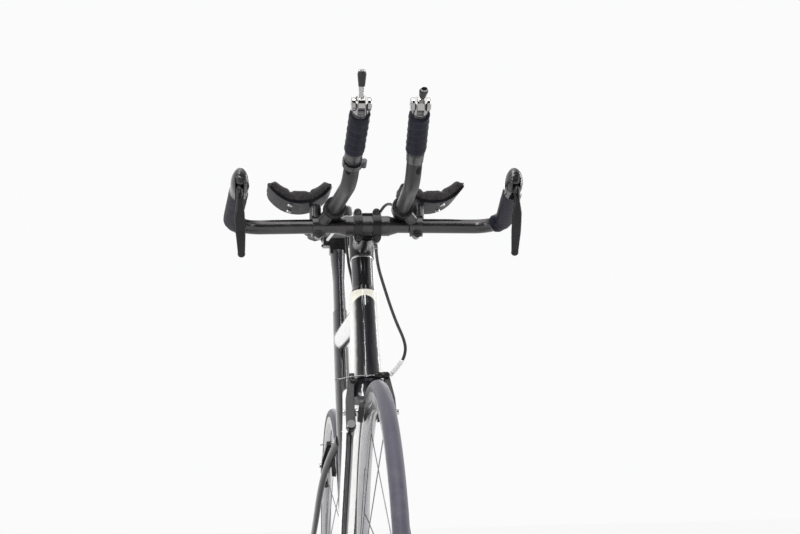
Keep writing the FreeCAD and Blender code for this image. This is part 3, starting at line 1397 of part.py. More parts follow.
def stem_straps():
    """Two narrow straps that hold the bar in the stem, each with an ear above and below."""
    made = []
    for side in SIDES:
        at = bar_middle + LEFT * side * mm.strap_offset
        half = LEFT * (mm.strap_width / 2)
        hoop = rod(at - half, at + half, mm.bar_clamp_radius + mm.strap_wall)
        ears = [rod(at + UP * rise * mm.strap_bolt_offset + AHEAD * 0.4, at + UP * rise * mm.strap_bolt_offset + AHEAD * 8,
                    mm.strap_width / 2 - 0.6) for rise in SIDES]
        strap = fused([hoop] + ears)
        strap = strap.cut(block(at + V(-60, -30, -60), at + V(0.4, 30, 60)))
        strap = strap.cut(rod(at - LEFT * 30, at + LEFT * 30, mm.bar_clamp_radius))
        for rise in SIDES:
            spot = at + UP * rise * mm.strap_bolt_offset
            strap = strap.cut(rod(spot - AHEAD * 30, spot + AHEAD * 30, mm.bolt_radius + 0.1))
            strap = strap.cut(rod(spot + AHEAD * 8, spot + AHEAD * 30, mm.bolt_head_radius + mm.seat_gap))
        made.append(strap)
    return Part.makeCompound(made)


# Base bar and brake levers

bar_corner = bar_middle + V(mm.bar_sweep, mm.bar_half_width, -mm.bar_drop)
horn_tip = bar_corner + V(mm.horn_reach, mm.horn_flare, mm.horn_rise)
horn_ahead = (horn_tip - bar_corner).normalize()
bar_wing = bar_middle + V(0.6, mm.bar_clamp_half, 0)


def bar_path():
    """Left half of the bar, from the thick middle's end round the bend to the horn's tip."""
    return rounded_path([bar_wing, bar_corner, horn_tip], mm.bend_radius)


def base_bar():
    """One bar: thick middle, tapers, thin wings, bends and horns."""
    half = LEFT * mm.bar_clamp_half
    middle = rod(bar_middle - half, bar_middle + half, mm.bar_clamp_radius)
    wing = piped(bar_path(), mm.bar_radius)
    heading = (bar_corner - bar_wing).normalize()
    neck = Part.makeLoft([Part.Wire([Part.Circle(bar_middle + half - LEFT * 2, LEFT, mm.bar_clamp_radius).toShape()]),
                          Part.Wire([Part.Circle(bar_wing + heading * mm.bar_taper, heading, mm.bar_radius).toShape()])], True)
    left = fused([wing, neck])
    return fused([middle, left, mirrored(left)])


def sleeve(path, inner, thickness):
    """A tube of tape along a path."""
    return piped(path, inner + thickness).cut(piped(path, inner))


def horn_tape():
    """Tape on each horn, from the middle of the bend to the lever body."""
    bend = bar_path()
    arc = bend.Edges[1]
    middle = (arc.FirstParameter + arc.LastParameter) / 2
    start = arc.valueAt(middle)
    through = arc.valueAt((middle + arc.LastParameter) / 2)
    end = arc.valueAt(arc.LastParameter)
    path = Part.Wire([Part.Arc(start, through, end).toShape(), Part.LineSegment(end, horn_tip - horn_ahead * mm.seat_gap).toShape()])
    return both(sleeve(path, mm.bar_radius, mm.tape_thickness))


lever_up = LEFT.cross(horn_ahead).normalize() * -1
lever_pivot = horn_tip + horn_ahead * mm.lever_pivot_ahead + UP * 1


def lever_body():
    """A bullet-shaped lever body on the horn's tip, slotted from below for the lever."""
    width = mm.lever_body_half_width
    height = mm.lever_body_half_height
    length = mm.lever_body_length
    stations = [(0.0, 13.6, 14.0, 0), (0.3, width, height * 0.86, 2), (0.62, width, height, 5),
                (0.86, width * 0.8, height * 0.86, 6), (1.0, width * 0.4, height * 0.5, 7)]
    side = lever_up.cross(horn_ahead)
    wires = []
    for share, wide, high, rise in stations:
        at = horn_tip + horn_ahead * (length * share) + lever_up * rise
        wires.append(oval(at, lever_up, max(high, wide + 0.1), side, wide))
    made = Part.makeLoft(wires, True)
    half = mm.lever_slot / 2
    slot = block(lever_pivot + V(-9, -half, -60), lever_pivot + V(60, half, 9))
    return made.cut(slot).fuse(lever_pin())


def lever_pin():
    reach = LEFT * (mm.lever_body_half_width - 0.8)
    return rod(lever_pivot - reach, lever_pivot + reach, mm.lever_pin_radius)


def lever_blade():
    """The left brake lever: a round root on the pin and a curved blade that hangs from the body's nose."""
    root_half = LEFT * (mm.lever_root / 2)
    root = rod(lever_pivot - root_half, lever_pivot + root_half, 8)
    wide = mm.lever_blade_half
    drop = mm.lever_drop
    slim = mm.lever_root / 2 - 0.4
    stations = [
        (V(2, 0, 1), slim, 4.2), (V(14, 0, 2.5), slim, 4.2), (V(23, 0, -2), slim, 4.2), (V(27, 0, -12), slim, 4.1),
        (V(26, 0, -24), slim, 4.0), (V(23, 0, -drop * 0.42), wide, 3.6), (V(17, -1, -drop * 0.7), wide, 3.2),
        (V(7, -2, -drop), wide * 0.72, 2.6),
    ]
    blade = limb([(lever_pivot + offset, half_width, half_thick) for offset, half_width, half_thick in stations])
    end = lever_pivot + stations[-1][0]
    tip = Part.makeSphere(2.5, end + V(-0.6, 0, -0.4))
    made = fused([root, blade, tip])
    bore = rod(lever_pivot - LEFT * 40, lever_pivot + LEFT * 40, mm.lever_pin_radius + mm.running_fit)
    return made.cut(bore)


# Aerobars

extension_rear = V(mm.extension_rear_x, mm.extension_rear_y, mm.extension_z)
extension_bend = V(mm.extension_bend_x, mm.extension_bend_y, mm.extension_z)
extension_tip = V(mm.extension_tip_x, mm.extension_tip_y, mm.extension_tip_z)
extension_ahead = (extension_tip - extension_bend).normalize()
extension_level = (extension_bend - extension_rear).normalize()


def extension_path():
    return rounded_path([extension_rear, extension_bend, extension_tip], mm.extension_bend_radius)


def extension():
    """A ski-bend tube, open at both ends for the shifter and its cable."""
    path = extension_path()
    return piped(path, mm.extension_radius).cut(piped(path, mm.extension_radius - mm.extension_wall))


def extension_tape():
    """Tape round the raised end of an extension."""
    end = extension_tip - extension_ahead * 0.5
    path = Part.Wire([Part.LineSegment(extension_tip - extension_ahead * mm.grip_length, end).toShape()])
    return sleeve(path, mm.extension_radius, mm.tape_thickness)


def bar_point(side_distance):
    """The bar's centre line at a distance from the middle."""
    share = (side_distance - mm.bar_clamp_half) / (mm.bar_half_width - mm.bar_clamp_half)
    return bar_wing + (bar_corner - bar_wing) * share


def bracket_shape():
    """A bracket: a ring on the bar, a ring on the extension in front of it, and a riser under the armrest."""
    at = bar_point(mm.bracket_offset)
    heading = (bar_corner - bar_wing).normalize()
    half = heading * (mm.bracket_width / 2)
    on_bar = rod(at - half, at + half, mm.bar_radius + mm.bracket_wall)
    grip_x = at.x + mm.bar_radius + mm.extension_radius + 6
    start = extension_rear + extension_level * (grip_x - 13 - extension_rear.x)
    end = start + extension_level * 26
    on_extension = rod(start, end, mm.extension_radius + mm.bracket_wall)
    riser_top = V(at.x - 2, at.y + 4, mm.cup_floor_z - 2)
    riser = rod(at + V(-2, 4, 0), riser_top, 9)
    web = rod(at, (start + end) * 0.5, 10)
    low = at - UP * (mm.bar_radius + mm.bolt_radius + 0.4)
    lug = rod(low - AHEAD * 8, low + AHEAD * 14.5, mm.bolt_radius + 3.5)
    made = fused([on_bar, on_extension, riser, web, lug])
    reach = heading * 60
    made = made.cut(rod(at - reach, at + reach, mm.bar_radius))
    made = made.cut(rod(extension_rear - extension_level * 50, extension_rear + extension_level * 200, mm.extension_radius))
    return made.cut(rod(low - AHEAD * 6, low + AHEAD * 30, mm.bolt_radius))


def extension_ring():
    """A clamp ring on the right extension below its tape, with a screw lug on its inner side."""
    start = extension_tip - extension_ahead * (mm.grip_length + mm.ring_width + 2)
    end = start + extension_ahead * mm.ring_width
    outer = mm.extension_radius + mm.ring_wall
    lug_at = start - LEFT * (outer + 2)
    lug = rod(lug_at - extension_ahead * 5, lug_at + extension_ahead * (mm.ring_width - 0.5), 3.6)
    made = fused([rod(start, end, outer), lug])
    made = made.cut(rod(start - extension_ahead * 20, end + extension_ahead * 20, mm.extension_radius))
    return mirrored(made)


def cup_arc(offset, x, trim=0):
    """The cup's cross line, an arc through its lips and floor, moved outward by offset."""
    lip_in = V(x, mm.cup_inner_y, mm.cup_lip_z - 2)
    floor = V(x, mm.cup_floor_y, mm.cup_floor_z)
    lip_out = V(x, mm.cup_outer_y, mm.cup_lip_z)
    circle = Part.Arc(lip_in, floor, lip_out).toShape().Curve
    centre = circle.Center
    spread = []
    for point, turn in ((lip_in, trim), (lip_out, -trim)):
        spoke_line = (point - centre).normalize()
        swing = FreeCAD.Rotation(AHEAD, turn)
        spread.append(centre + swing.multVec(spoke_line) * (circle.Radius + offset))
    middle = centre + (floor - centre).normalize() * (circle.Radius + offset)
    return spread[0], middle, spread[1], centre


def trough(x, inner, outer, trim):
    """A closed trough section between two offsets from the cup's line, with rounded lips."""
    low = cup_arc(outer, x, trim)
    high = cup_arc(inner, x, trim)
    middle = cup_arc((inner + outer) / 2, x, trim - math.copysign(1.2, outer - inner) * 1.0)
    return Part.Wire([
        Part.Arc(low[0], low[1], low[2]).toShape(),
        Part.Arc(low[2], middle[2], high[2]).toShape(),
        Part.Arc(high[2], high[1], high[0]).toShape(),
        Part.Arc(high[0], middle[0], low[0]).toShape(),
    ])


def armrest_cup():
    """A curved carrier under the forearm, cut back at its corners."""
    stations = [(0.0, 5), (0.12, 0.0), (0.88, 0.0), (1.0, 5)]
    wires = [trough(mm.cup_front_x - mm.cup_length * share, 0, mm.cup_wall, trim) for share, trim in stations]
    return Part.makeLoft(wires, True, True)


def armrest_pad():
    """Foam in the cup: full in the middle, thinner and drawn in at its ends."""
    gap = -mm.seat_gap
    stations = [(0.01, 0.55, 7), (0.1, 0.92, 2), (0.5, 1.0, 1), (0.9, 0.92, 2), (0.99, 0.55, 7)]
    wires = [trough(mm.cup_front_x - mm.cup_length * share, gap - mm.pad_thickness * full, gap, trim)
             for share, full, trim in stations]
    return Part.makeLoft(wires, True)


shifter_pivot = extension_tip + extension_ahead * (mm.shifter_length - 8)


def shifter_body():
    """A turned pod plugged into the extension, with a slot and a cross pin for its lever."""
    start = extension_tip
    plug = rod(start - extension_ahead * 12, start, mm.extension_radius - mm.extension_wall)
    collar = rod(start, start + extension_ahead * 4, mm.extension_radius)
    pod = Part.makeCone(mm.shifter_radius, mm.shifter_radius * 0.86, mm.shifter_length - 4, start + extension_ahead * 4,
                        extension_ahead)
    half = mm.shifter_lever_width / 2 + mm.seat_gap
    slot = rod(shifter_pivot - LEFT * half, shifter_pivot + LEFT * half, mm.shifter_radius + 5)
    pin_reach = LEFT * (mm.shifter_radius - 0.6)
    pin = rod(shifter_pivot - pin_reach, shifter_pivot + pin_reach, mm.bolt_radius)
    return fused([plug, collar, pod]).cut(slot).fuse(pin)


def shifter_lever(side, raise_angle):
    """A round lever hub on the pin, a slim stem and a rounded paddle."""
    half = LEFT * (mm.shifter_lever_width / 2)
    hub = rod(-half, half, mm.shifter_radius - 1.2)
    length = mm.shifter_lever_length
    stations = [(4, 3.6, 3.4), (16, 3.4, 3.2), (26, 4.6, 4.2), (length - 6, 6, 4.4), (length, 4.2, 2.8)]
    made = fused([hub, limb([(AHEAD * at, wide, thick) for at, wide, thick in stations])])
    made = made.cut(rod(-LEFT * 40, LEFT * 40, mm.bolt_radius + mm.running_fit))
    made.rotate(V(0, 0, 0), V(0, -1, 0), raise_angle)
    made.translate(V(shifter_pivot.x, side * shifter_pivot.y, shifter_pivot.z))
    return made


# Brakes

def brake_arm(root, up, out, side):
    """One brake arm with its pad: a waisted lever from its pivot past the tyre, and a shoe on a short stud."""
    half = mm.brake_arm_half
    top = mm.brake_arm_height
    pivot_y = mm.brake_half

    def at(across, rise, ahead):
        return root + LEFT * side * across + up * rise + out * ahead

    start = mm.brake_stand + mm.seat_gap
    thick = mm.brake_arm_thickness
    arm_points = [at(pivot_y - half, -2, start), at(pivot_y - 4, -half, start), at(pivot_y + 4, -half, start),
                  at(pivot_y + half, -2, start), at(pivot_y + half - 1, top * 0.5, start), at(pivot_y - 1, top, start),
                  at(pivot_y - 9, top, start), at(pivot_y - half + 1, top * 0.5, start)]
    arm = prism(arm_points, out * thick)
    arm = arm.cut(rod(at(pivot_y, 0, 0), at(pivot_y, 0, 60), mm.brake_post_radius + mm.running_fit))
    pad_face = mm.rim_width / 2 + mm.brake_pad_gap
    pad_back = pad_face + mm.brake_pad_depth
    rise = mm.brake_pad_rise
    middle = start + thick / 2
    stud = rod(at(pad_back, rise, middle), at(pivot_y, rise, middle), 3.2)
    wire = mm.wire_rise
    if side > 0:
        grip = rod(at(10, wire, mm.wire_stand), at(pivot_y - 1, wire, mm.wire_stand), mm.holder_radius)
        bore = rod(at(0, wire, mm.wire_stand), at(60, wire, mm.wire_stand), mm.wire_radius + mm.seat_gap)
    else:
        low = wire - 7
        grip = rod(at(pivot_y - 6, low, middle), at(pivot_y - 6, low, start + thick + 4), mm.bolt_head_radius)
        bore = rod(at(pivot_y - 6, low, start + thick + 2), at(pivot_y - 6, low, start + thick + 9), 1.6)
    arm = fused([arm, stud, grip]).cut(bore)
    low = rise - mm.brake_pad_height / 2
    high = rise + mm.brake_pad_height / 2
    reach = mm.brake_pad_length / 2
    shoe = prism([at(pad_face, low, middle - reach), at(pad_back, low + 1.5, middle - reach),
                  at(pad_back, high - 1.5, middle - reach), at(pad_face, high, middle - reach)], out * mm.brake_pad_length)
    return Part.makeCompound([arm, shoe])


# Derailleurs and cables

def sector(inner, outer, start, stop, low, high):
    """Part of a flat ring about the spindle, between two angles from straight ahead."""
    face = Part.Face(Part.makePolygon([V(inner, low, 0), V(outer, low, 0), V(outer, high, 0), V(inner, high, 0), V(inner, low, 0)]))
    face.rotate(V(0, 0, 0), V(0, -1, 0), start)
    made = face.revolve(V(0, 0, 0), V(0, -1, 0), stop - start)
    return moved(made, bracket)


def front_derailleur():
    """Two cage plates beside the chain over the outer ring, a bridge and the link body on the seat tube."""
    ring = pitch_radius(mm.outer_teeth)
    out_y = ring_outer_y - 5.5
    in_y = ring_outer_y + 5.5
    outer = sector(ring - 6, ring + 18, 72, 118, out_y - 1.5, out_y)
    inner = sector(ring - 2, ring + 18, 76, 122, in_y, in_y + 1.5)
    bridge = sector(ring + 15, ring + 18, 88, 104, out_y - 1.5, in_y + 1.5)
    at = seat_line(bracket.z + ring + 14)
    wall = -mm.seat_tube_width / 2
    linkage = block(V(at.x - 12, in_y, at.z - 13), V(at.x + 12, wall - 6, at.z + 13))
    foot = block(V(at.x - 8, wall - 7, at.z - 9), V(at.x + 8, wall + 6, at.z + 9))
    return fused([outer, inner, bridge, linkage, foot])


def bottom_bracket_cups():
    """Two bearing cups in the shell, running on the spindle."""
    place = (bracket_x, 0, cell.wheel_radius - cell.bb_drop)
    inner = cell.spindle_radius + cell.running_fit
    face = cell.bb_shell_width / 2
    end = face + cell.bb_cup_reach
    cups = []
    for name, sign in (("left_cup", 1), ("right_cup", -1)):
        corners = [(inner, (face - 14) * sign), (cell.bb_bore, (face - 14) * sign), (cell.bb_bore, face * sign),
                   (cell.bb_bore + 1.5, face * sign), (cell.bb_bore + 1.5, end * sign), (inner, end * sign)]
        cups.append(put(turned(name, corners), place))
    group("bottom_bracket_cups", cups)


def rear_derailleur():
    """Upper knuckle on the hanger, two parallel links and the lower knuckle over the guide pulley."""
    half_rear = mm.rear_spacing / 2 + mm.dropout_thickness
    hanger = rear_axle + V(-7, -half_rear, -mm.hanger_drop)
    knuckle = rod(hanger - LEFT * 0.2, hanger - LEFT * 12, 10.5)
    bolt = rod(hanger + LEFT * 6, hanger - LEFT * 13, 4.5)
    low_y = guide_pulley.y - 9
    lower = V(guide_pulley.x, low_y, guide_pulley.z)
    lower_knuckle = rod(lower, lower - LEFT * 12, 10)
    links = []
    for shift in (-5.5, 5.5):
        links.append(rod(hanger + V(shift, -8.4, -7), lower + V(shift, -8.4, 4), 3.4))
    return fused([knuckle, bolt, lower_knuckle] + links)


def derailleur_cage():
    """Two long plates either side of the jockey wheels, joined by the wheels' bolts."""
    along = (tension_pulley - guide_pulley).normalize()
    across = LEFT.cross(along)
    made = []
    for low in (-6.6, 4.8):
        base = LEFT * low
        ends = [rod(guide_pulley + base, guide_pulley + base + LEFT * 1.8, 9),
                rod(tension_pulley + base, tension_pulley + base + LEFT * 1.8, 9)]
        web = prism([guide_pulley + base + across * 6, tension_pulley + base + across * 6,
                     tension_pulley + base - across * 6, guide_pulley + base - across * 6], LEFT * 1.8)
        made += ends + [web]
    bolts = [rod(pulley - LEFT * 8.7, pulley + LEFT * 7.2, mm.bolt_radius) for pulley in (guide_pulley, tension_pulley)]
    return fused(made + bolts)


def jockey(pulley):
    wheel_shape = sprocket(mm.jockey_teeth, mm.tooth_thickness, mm.bolt_radius + mm.running_fit)
    core = rod(LEFT * -3.6, LEFT * 3.6, 8).cut(rod(LEFT * -9, LEFT * 9, mm.bolt_radius + mm.running_fit))
    return moved(fused([wheel_shape, core]), pulley)


def cable(points):
    """A cable housing along straight runs and the largest arcs that fit them."""
    path = rounded_path(points)
    made = piped(path, mm.housing_radius)
    expected = math.pi * mm.housing_radius ** 2 * path.Length
    radii = [round(edge.Curve.Radius) for edge in path.Edges if edge.Curve.TypeId == "Part::GeomCircle"]
    print("cable", round(path.Length), "mm, volume share", round(made.Volume / expected, 4), "bend radii", radii)
    return made


def wire_point(root, up, out, across):
    """A point on the bare wire above a wheel."""
    return root + up * mm.wire_rise + out * mm.wire_stand + LEFT * across


def brake_wire(root, up, out):
    """The bare wire from the left arm's holder to the right arm, with a short tail."""
    start = wire_point(root, up, out, 9.5)
    return rod(start, wire_point(root, up, out, -mm.brake_half - 22), mm.wire_radius)


def front_brake_cable():
    """From under the stem, down beside the head tube and round to the left brake arm's holder."""
    holder = wire_point(front_brake_root, front_brake_up, front_brake_out, mm.brake_half + 1.2)
    start = bar_middle + V(-6, 14, -mm.strap_bolt_offset - mm.strap_width / 2 - 1.4)
    housing = cable([start, start + V(11, -1, -27), start + V(19, 11, -74), start + V(24, 25, -120),
                     holder + V(36, 19, 46), holder + V(26, 17, 22), holder + V(10, 14, 6), holder])
    return Part.makeCompound([housing, brake_wire(front_brake_root, front_brake_up, front_brake_out)])


def shift_cable():
    """From the left extension's rear end, looping inward behind the stem and down into the top tube."""
    half_width = mm.top_tube_width / 2
    rise = mm.top_tube_depth / 2 * math.sqrt(1 - (8 / half_width) ** 2)
    entry = V(along_steer(head_top, -70).x, 8, mm.top_tube_head_z + rise + 0.8)
    tail = extension_rear - extension_level * 0.5
    return cable([tail, tail + V(-34, 0, 14), tail + V(-70, -12, 20), tail + V(-100, -28, -4), entry + V(8, 12, 70),
                  entry + V(3, 2, 30), entry])


def rear_cables():
    """Rear brake housing from the seat tube to the brake, and the shift loop from the chainstay to the derailleur."""
    holder = wire_point(rear_brake_root, rear_brake_up, rear_brake_out, mm.brake_half + 1.2)
    leave = seat_line(stay_top.z + 113) + V(-mm.seat_tube_depth / 2 - 2.6, 0, 0)
    brake = cable([leave, leave + V(-26, 6, -8), leave + V(-40, 28, -44), holder + V(-32, 14, 28), holder + V(-14, 13, 6),
                   holder])
    out_y = -mm.rear_spacing / 2 - mm.dropout_thickness
    shift = cable([rear_axle + V(75, out_y - 1, -12), rear_axle + V(16, out_y - 21, -38), rear_axle + V(-70, out_y - 21, -40),
                   rear_axle + V(-95, out_y - 16, -54), rear_axle + V(-77, out_y - 6, -75),
                   V(guide_pulley.x - 10.4, guide_pulley.y - 16, guide_pulley.z - 1)])
    wire = brake_wire(rear_brake_root, rear_brake_up, rear_brake_out)
    return Part.makeCompound([brake, shift, wire])


def cockpit_bolts():
    """Strap bolts in the stem, and a bolt under the bar in each bracket."""
    made = []
    for at in strap_bolts():
        face = at + AHEAD * 8
        made.append(fused([rod(at - AHEAD * 12, face, mm.bolt_radius),
                           rod(face, face + AHEAD * mm.bolt_head_height, mm.bolt_head_radius)]))
    for side in SIDES:
        made.append(bracket_bolt(side))
    sockets = []
    for bolt in made:
        end = bolt.BoundBox
        middle = V(end.XMax, (end.YMin + end.YMax) / 2, (end.ZMin + end.ZMax) / 2)
        sockets.append(bolt.cut(rod(middle - AHEAD * 2.5, middle + AHEAD, mm.bolt_radius * 0.8)))
    return Part.makeCompound(sockets)


def bracket_bolt(side):
    at = bar_point(mm.bracket_offset)
    low = V(at.x, side * at.y, at.z - mm.bar_radius - mm.bolt_radius - 0.4)
    face = low + AHEAD * 14.5
    return fused([rod(low - AHEAD * 6, face, mm.bolt_radius), rod(face, face + AHEAD * mm.bolt_head_height, mm.bolt_head_radius)])


# Assembly

wheel("front", half_base, cell.front_flange_half, cell.front_flange_half, mm.front_spoke_count, 0)
wheel("rear", -half_base, cell.rear_flange_left, cell.rear_flange_right, mm.rear_spoke_count, 58)
axle_set("front", cell.front_spacing, front_axle, half_base, cell.locknut_length)
axle_set("rear", cell.rear_spacing, rear_axle, -half_base, Dim(1.5, "1.5"))
shaped("cassette", cassette())
shaped("chain", chain())
shaped("outer_chainring", chainring(mm.outer_teeth, ring_outer_y))
shaped("inner_chainring", chainring(mm.inner_teeth, ring_inner_y))
shaped("chainring_bolts", ring_bolts())
shaped("crank_arm_right", crank_right())
shaped("crank_arm_left", crank_left())
shaped("pedal_axles", pedal_axles())
shaped("pedal_left", pedal(1))
shaped("pedal_right", pedal(-1))
frame_shape = frame()
shaped("frame", frame_shape)
bottom_bracket_cups()
shaped("front_derailleur", front_derailleur().cut(frame_shape))
shaped("seatpost", seat_post())
shaped("saddle_clamp", saddle_clamp())
shell_shape = saddle_shell()
shaped("saddle_shell", shell_shape)
shaped("saddle_pad", saddle_pad())
shaped("saddle_rails", saddle_rails(shell_shape))
shaped("fork", fork())
headset()
shaped("stem", stem())
shaped("stem_straps", stem_straps())
shaped("base_bar", base_bar())
shaped("horn_tape", horn_tape())
shaped("brake_bodies", both(lever_body()))
shaped("brake_lever_left", lever_blade())
shaped("brake_lever_right", mirrored(lever_blade()))
brackets = bracket_shape()
shaped("aerobar_brackets", Part.makeCompound([brackets, mirrored(brackets), extension_ring()]))
shaped("armrest_cups", both(armrest_cup()))
shaped("armrest_pads", both(armrest_pad()))
shaped("extensions", both(extension()))
shaped("extension_tape", both(extension_tape()))
shaped("shifter_bodies", both(shifter_body()))
shaped("shifter_lever_left", shifter_lever(1, 12))
shaped("shifter_lever_right", shifter_lever(-1, 62))
for side, name in ((1, "left"), (-1, "right")):
    shaped("front_brake_arm_" + name, brake_arm(front_brake_root, front_brake_up, front_brake_out, side))
    shaped("rear_brake_arm_" + name, brake_arm(rear_brake_root, rear_brake_up, rear_brake_out, side))
shaped("rear_derailleur", rear_derailleur())
shaped("derailleur_cage", derailleur_cage())
shaped("upper_jockey_wheel", jockey(guide_pulley))
shaped("lower_jockey_wheel", jockey(tension_pulley))
shaped("cockpit_bolts", cockpit_bolts())
shaped("front_brake_cable", front_brake_cable())
shaped("shift_cables", both(shift_cable()))
shaped("rear_cables", rear_cables())

doc.recompute()
faults = [obj.Name for obj in doc.Objects if "Invalid" in obj.State or "Error" in obj.State]
faults += [node.Label for node in nodes if node.Shape.isNull() or not node.Shape.isValid()]
if faults:
    raise RuntimeError("these did not build: " + ", ".join(sorted(set(faults))))
os.makedirs("parts", exist_ok=True)
for node in nodes:
    node.Shape.exportStep("parts/%s.step" % node.Label)
print(len(nodes), "sub-parts")
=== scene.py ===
import json
import math
import bmesh
import bpy
import numpy as np
from mathutils import Matrix, Vector
from mathutils.bvhtree import BVHTree


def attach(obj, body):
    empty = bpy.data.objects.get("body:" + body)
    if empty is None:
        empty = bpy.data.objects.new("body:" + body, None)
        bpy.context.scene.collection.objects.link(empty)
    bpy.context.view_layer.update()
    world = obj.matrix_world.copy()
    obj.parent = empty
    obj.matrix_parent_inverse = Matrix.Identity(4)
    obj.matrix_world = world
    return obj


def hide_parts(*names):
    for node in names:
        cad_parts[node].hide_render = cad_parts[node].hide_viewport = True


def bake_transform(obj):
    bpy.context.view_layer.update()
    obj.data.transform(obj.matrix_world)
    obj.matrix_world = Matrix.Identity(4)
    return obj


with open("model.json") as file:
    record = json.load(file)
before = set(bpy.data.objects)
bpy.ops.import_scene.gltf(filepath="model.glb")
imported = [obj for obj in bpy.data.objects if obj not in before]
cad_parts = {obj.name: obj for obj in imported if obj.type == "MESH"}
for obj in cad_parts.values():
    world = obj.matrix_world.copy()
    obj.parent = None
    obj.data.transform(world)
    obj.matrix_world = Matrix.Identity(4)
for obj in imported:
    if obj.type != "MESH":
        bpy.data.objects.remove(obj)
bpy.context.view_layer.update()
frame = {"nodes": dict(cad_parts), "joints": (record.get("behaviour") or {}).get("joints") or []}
nodes = frame["nodes"]
scene = bpy.context.scene
scene.view_settings.view_transform = "Standard"
jointSpot = {joint["name"]: Vector(joint["pos_m"]) for joint in frame["joints"]}
frontAxle = jointSpot["front_wheel_spin"]
rearAxle = jointSpot["rear_wheel_spin"]
crankSpot = jointSpot["crank_spin"]
print("frame loaded with", len(nodes), "nodes")

# camera at the photo's place, low in front and a little to the bike's right
viewPoint = {"place": (2.77714, -0.21029, 0.53583), "yaw": -0.1085, "pitch": 0.1294, "roll": 0.0211,
             "lens": 70.55, "sensor": 36.0}


def placeCamera(spec):
    forward, right, up = Vector((-1, 0, 0)), Vector((0, 1, 0)), Vector((0, 0, 1))
    turn = Matrix.Rotation(spec["yaw"], 3, up)
    forward, right = turn @ forward, turn @ right
    turn = Matrix.Rotation(spec["pitch"], 3, right)
    forward, up = turn @ forward, turn @ up
    turn = Matrix.Rotation(spec["roll"], 3, forward)
    right, up = turn @ right, turn @ up
    data = bpy.data.cameras.new("viewCamera")
    data.lens = spec["lens"]
    data.sensor_width = spec["sensor"]
    camera = bpy.data.objects.new("viewCamera", data)
    scene.collection.objects.link(camera)
    turned = Matrix((right, up, -forward)).transposed().to_4x4()
    camera.matrix_world = Matrix.Translation(spec["place"]) @ turned
    scene.camera = camera


placeCamera(viewPoint)


# a value in a node tree: sums and products of such values become Math nodes
class nodeValue:
    def __init__(self, tree, socket):
        self.tree = tree
        self.socket = socket

    def output(self, label):
        return nodeValue(self.tree, self.socket.node.outputs[label])

    def __add__(self, other):
        return calc("ADD", self, other)

    def __sub__(self, other):
        return calc("SUBTRACT", self, other)

    def __rsub__(self, other):
        return calc("SUBTRACT", other, self)

    def __mul__(self, other):
        return calc("MULTIPLY", self, other)

    def __truediv__(self, other):
        return calc("DIVIDE", self, other)

    def __abs__(self):
        return calc("ABSOLUTE", self)


def feed(socket, value):
    if isinstance(value, nodeValue):
        value.tree.links.new(value.socket, socket)
    elif socket.type == "RGBA":
        socket.default_value = (*value, 1)
    else:
        socket.default_value = value


# one node with its options, its inputs by number or label, and the output that is wanted
def addNode(tree, kind, inputs=(), output=0, **options):
    node = tree.nodes.new(kind)
    for label, value in options.items():
        setattr(node, label, value)
    for label, value in inputs.items() if isinstance(inputs, dict) else enumerate(inputs):
        feed(node.inputs[label], value)
    return nodeValue(tree, node.outputs[output])


def calc(operation, *values):
    tree = next(value.tree for value in values if isinstance(value, nodeValue))
    return addNode(tree, "ShaderNodeMath", values, operation=operation)


def vectorCalc(operation, *values):
    slots = (0, "Scale") if operation == "SCALE" else (0, 1)
    output = "Value" if operation in ("DOT_PRODUCT", "LENGTH", "DISTANCE") else "Vector"
    return addNode(values[0].tree, "ShaderNodeVectorMath", dict(zip(slots, values)), output,
                   operation=operation)


def ramp(value, low, high, toLow=0.0, toHigh=1.0):
    return addNode(value.tree, "ShaderNodeMapRange", (value, low, high, toLow, toHigh),
                   interpolation_type="SMOOTHSTEP")


# stretches the middle of a noise, where most of it lies
def spread(value, toLow=0.0, toHigh=1.0):
    return ramp(value, 0.3, 0.7, toLow, toHigh)


def either(*shares):
    total = shares[0]
    for share in shares[1:]:
        total = calc("MAXIMUM", total, share)
    return total


def mixed(share, first, second):
    return addNode(share.tree, "ShaderNodeMix", {0: share, 6: first, 7: second}, 2, data_type="RGBA")


def coords(tree, kind="Object"):
    return addNode(tree, "ShaderNodeTexCoord", (), kind)


def parts(vector):
    first = addNode(vector.tree, "ShaderNodeSeparateXYZ", [vector], "X")
    return first, first.output("Y"), first.output("Z")


def noise(place, scale, detail=3.0, roughness=0.55):
    return addNode(place.tree, "ShaderNodeTexNoise",
                   {"Vector": place, "Scale": scale, "Detail": detail, "Roughness": roughness})


# noise over one distance only, as turning on a lathe leaves it
def ringNoise(distance, scale):
    return addNode(distance.tree, "ShaderNodeTexNoise", {"W": distance, "Scale": scale, "Detail": 2.0},
                   noise_dimensions="1D")


def cells(place, scale):
    return addNode(place.tree, "ShaderNodeTexVoronoi", {"Vector": place, "Scale": scale}, "Distance")


def stretched(place, scale):
    return addNode(place.tree, "ShaderNodeMapping", {"Vector": place, "Scale": scale})


def newMaterial(name):
    material = bpy.data.materials.new(name)
    material.use_nodes = True
    tree = material.node_tree
    return material, tree.nodes["Principled BSDF"], coords(tree)


# fills a shader's sockets, then softens its edges and lays bumps of the given depths over each other
def dress(shader, sockets, heights, edge=0.0):
    for label, value in sockets.items():
        feed(shader.inputs[label], value)
    tree = heights[0][0].tree
    under = {"Normal": addNode(tree, "ShaderNodeBevel", {"Radius": edge}, samples=4)} if edge else {}
    for height, depth in heights:
        bump = {"Strength": 1.0, "Distance": depth, "Height": height, **under}
        under = {"Normal": addNode(tree, "ShaderNodeBump", bump)}
    feed(shader.inputs["Normal"], under["Normal"])


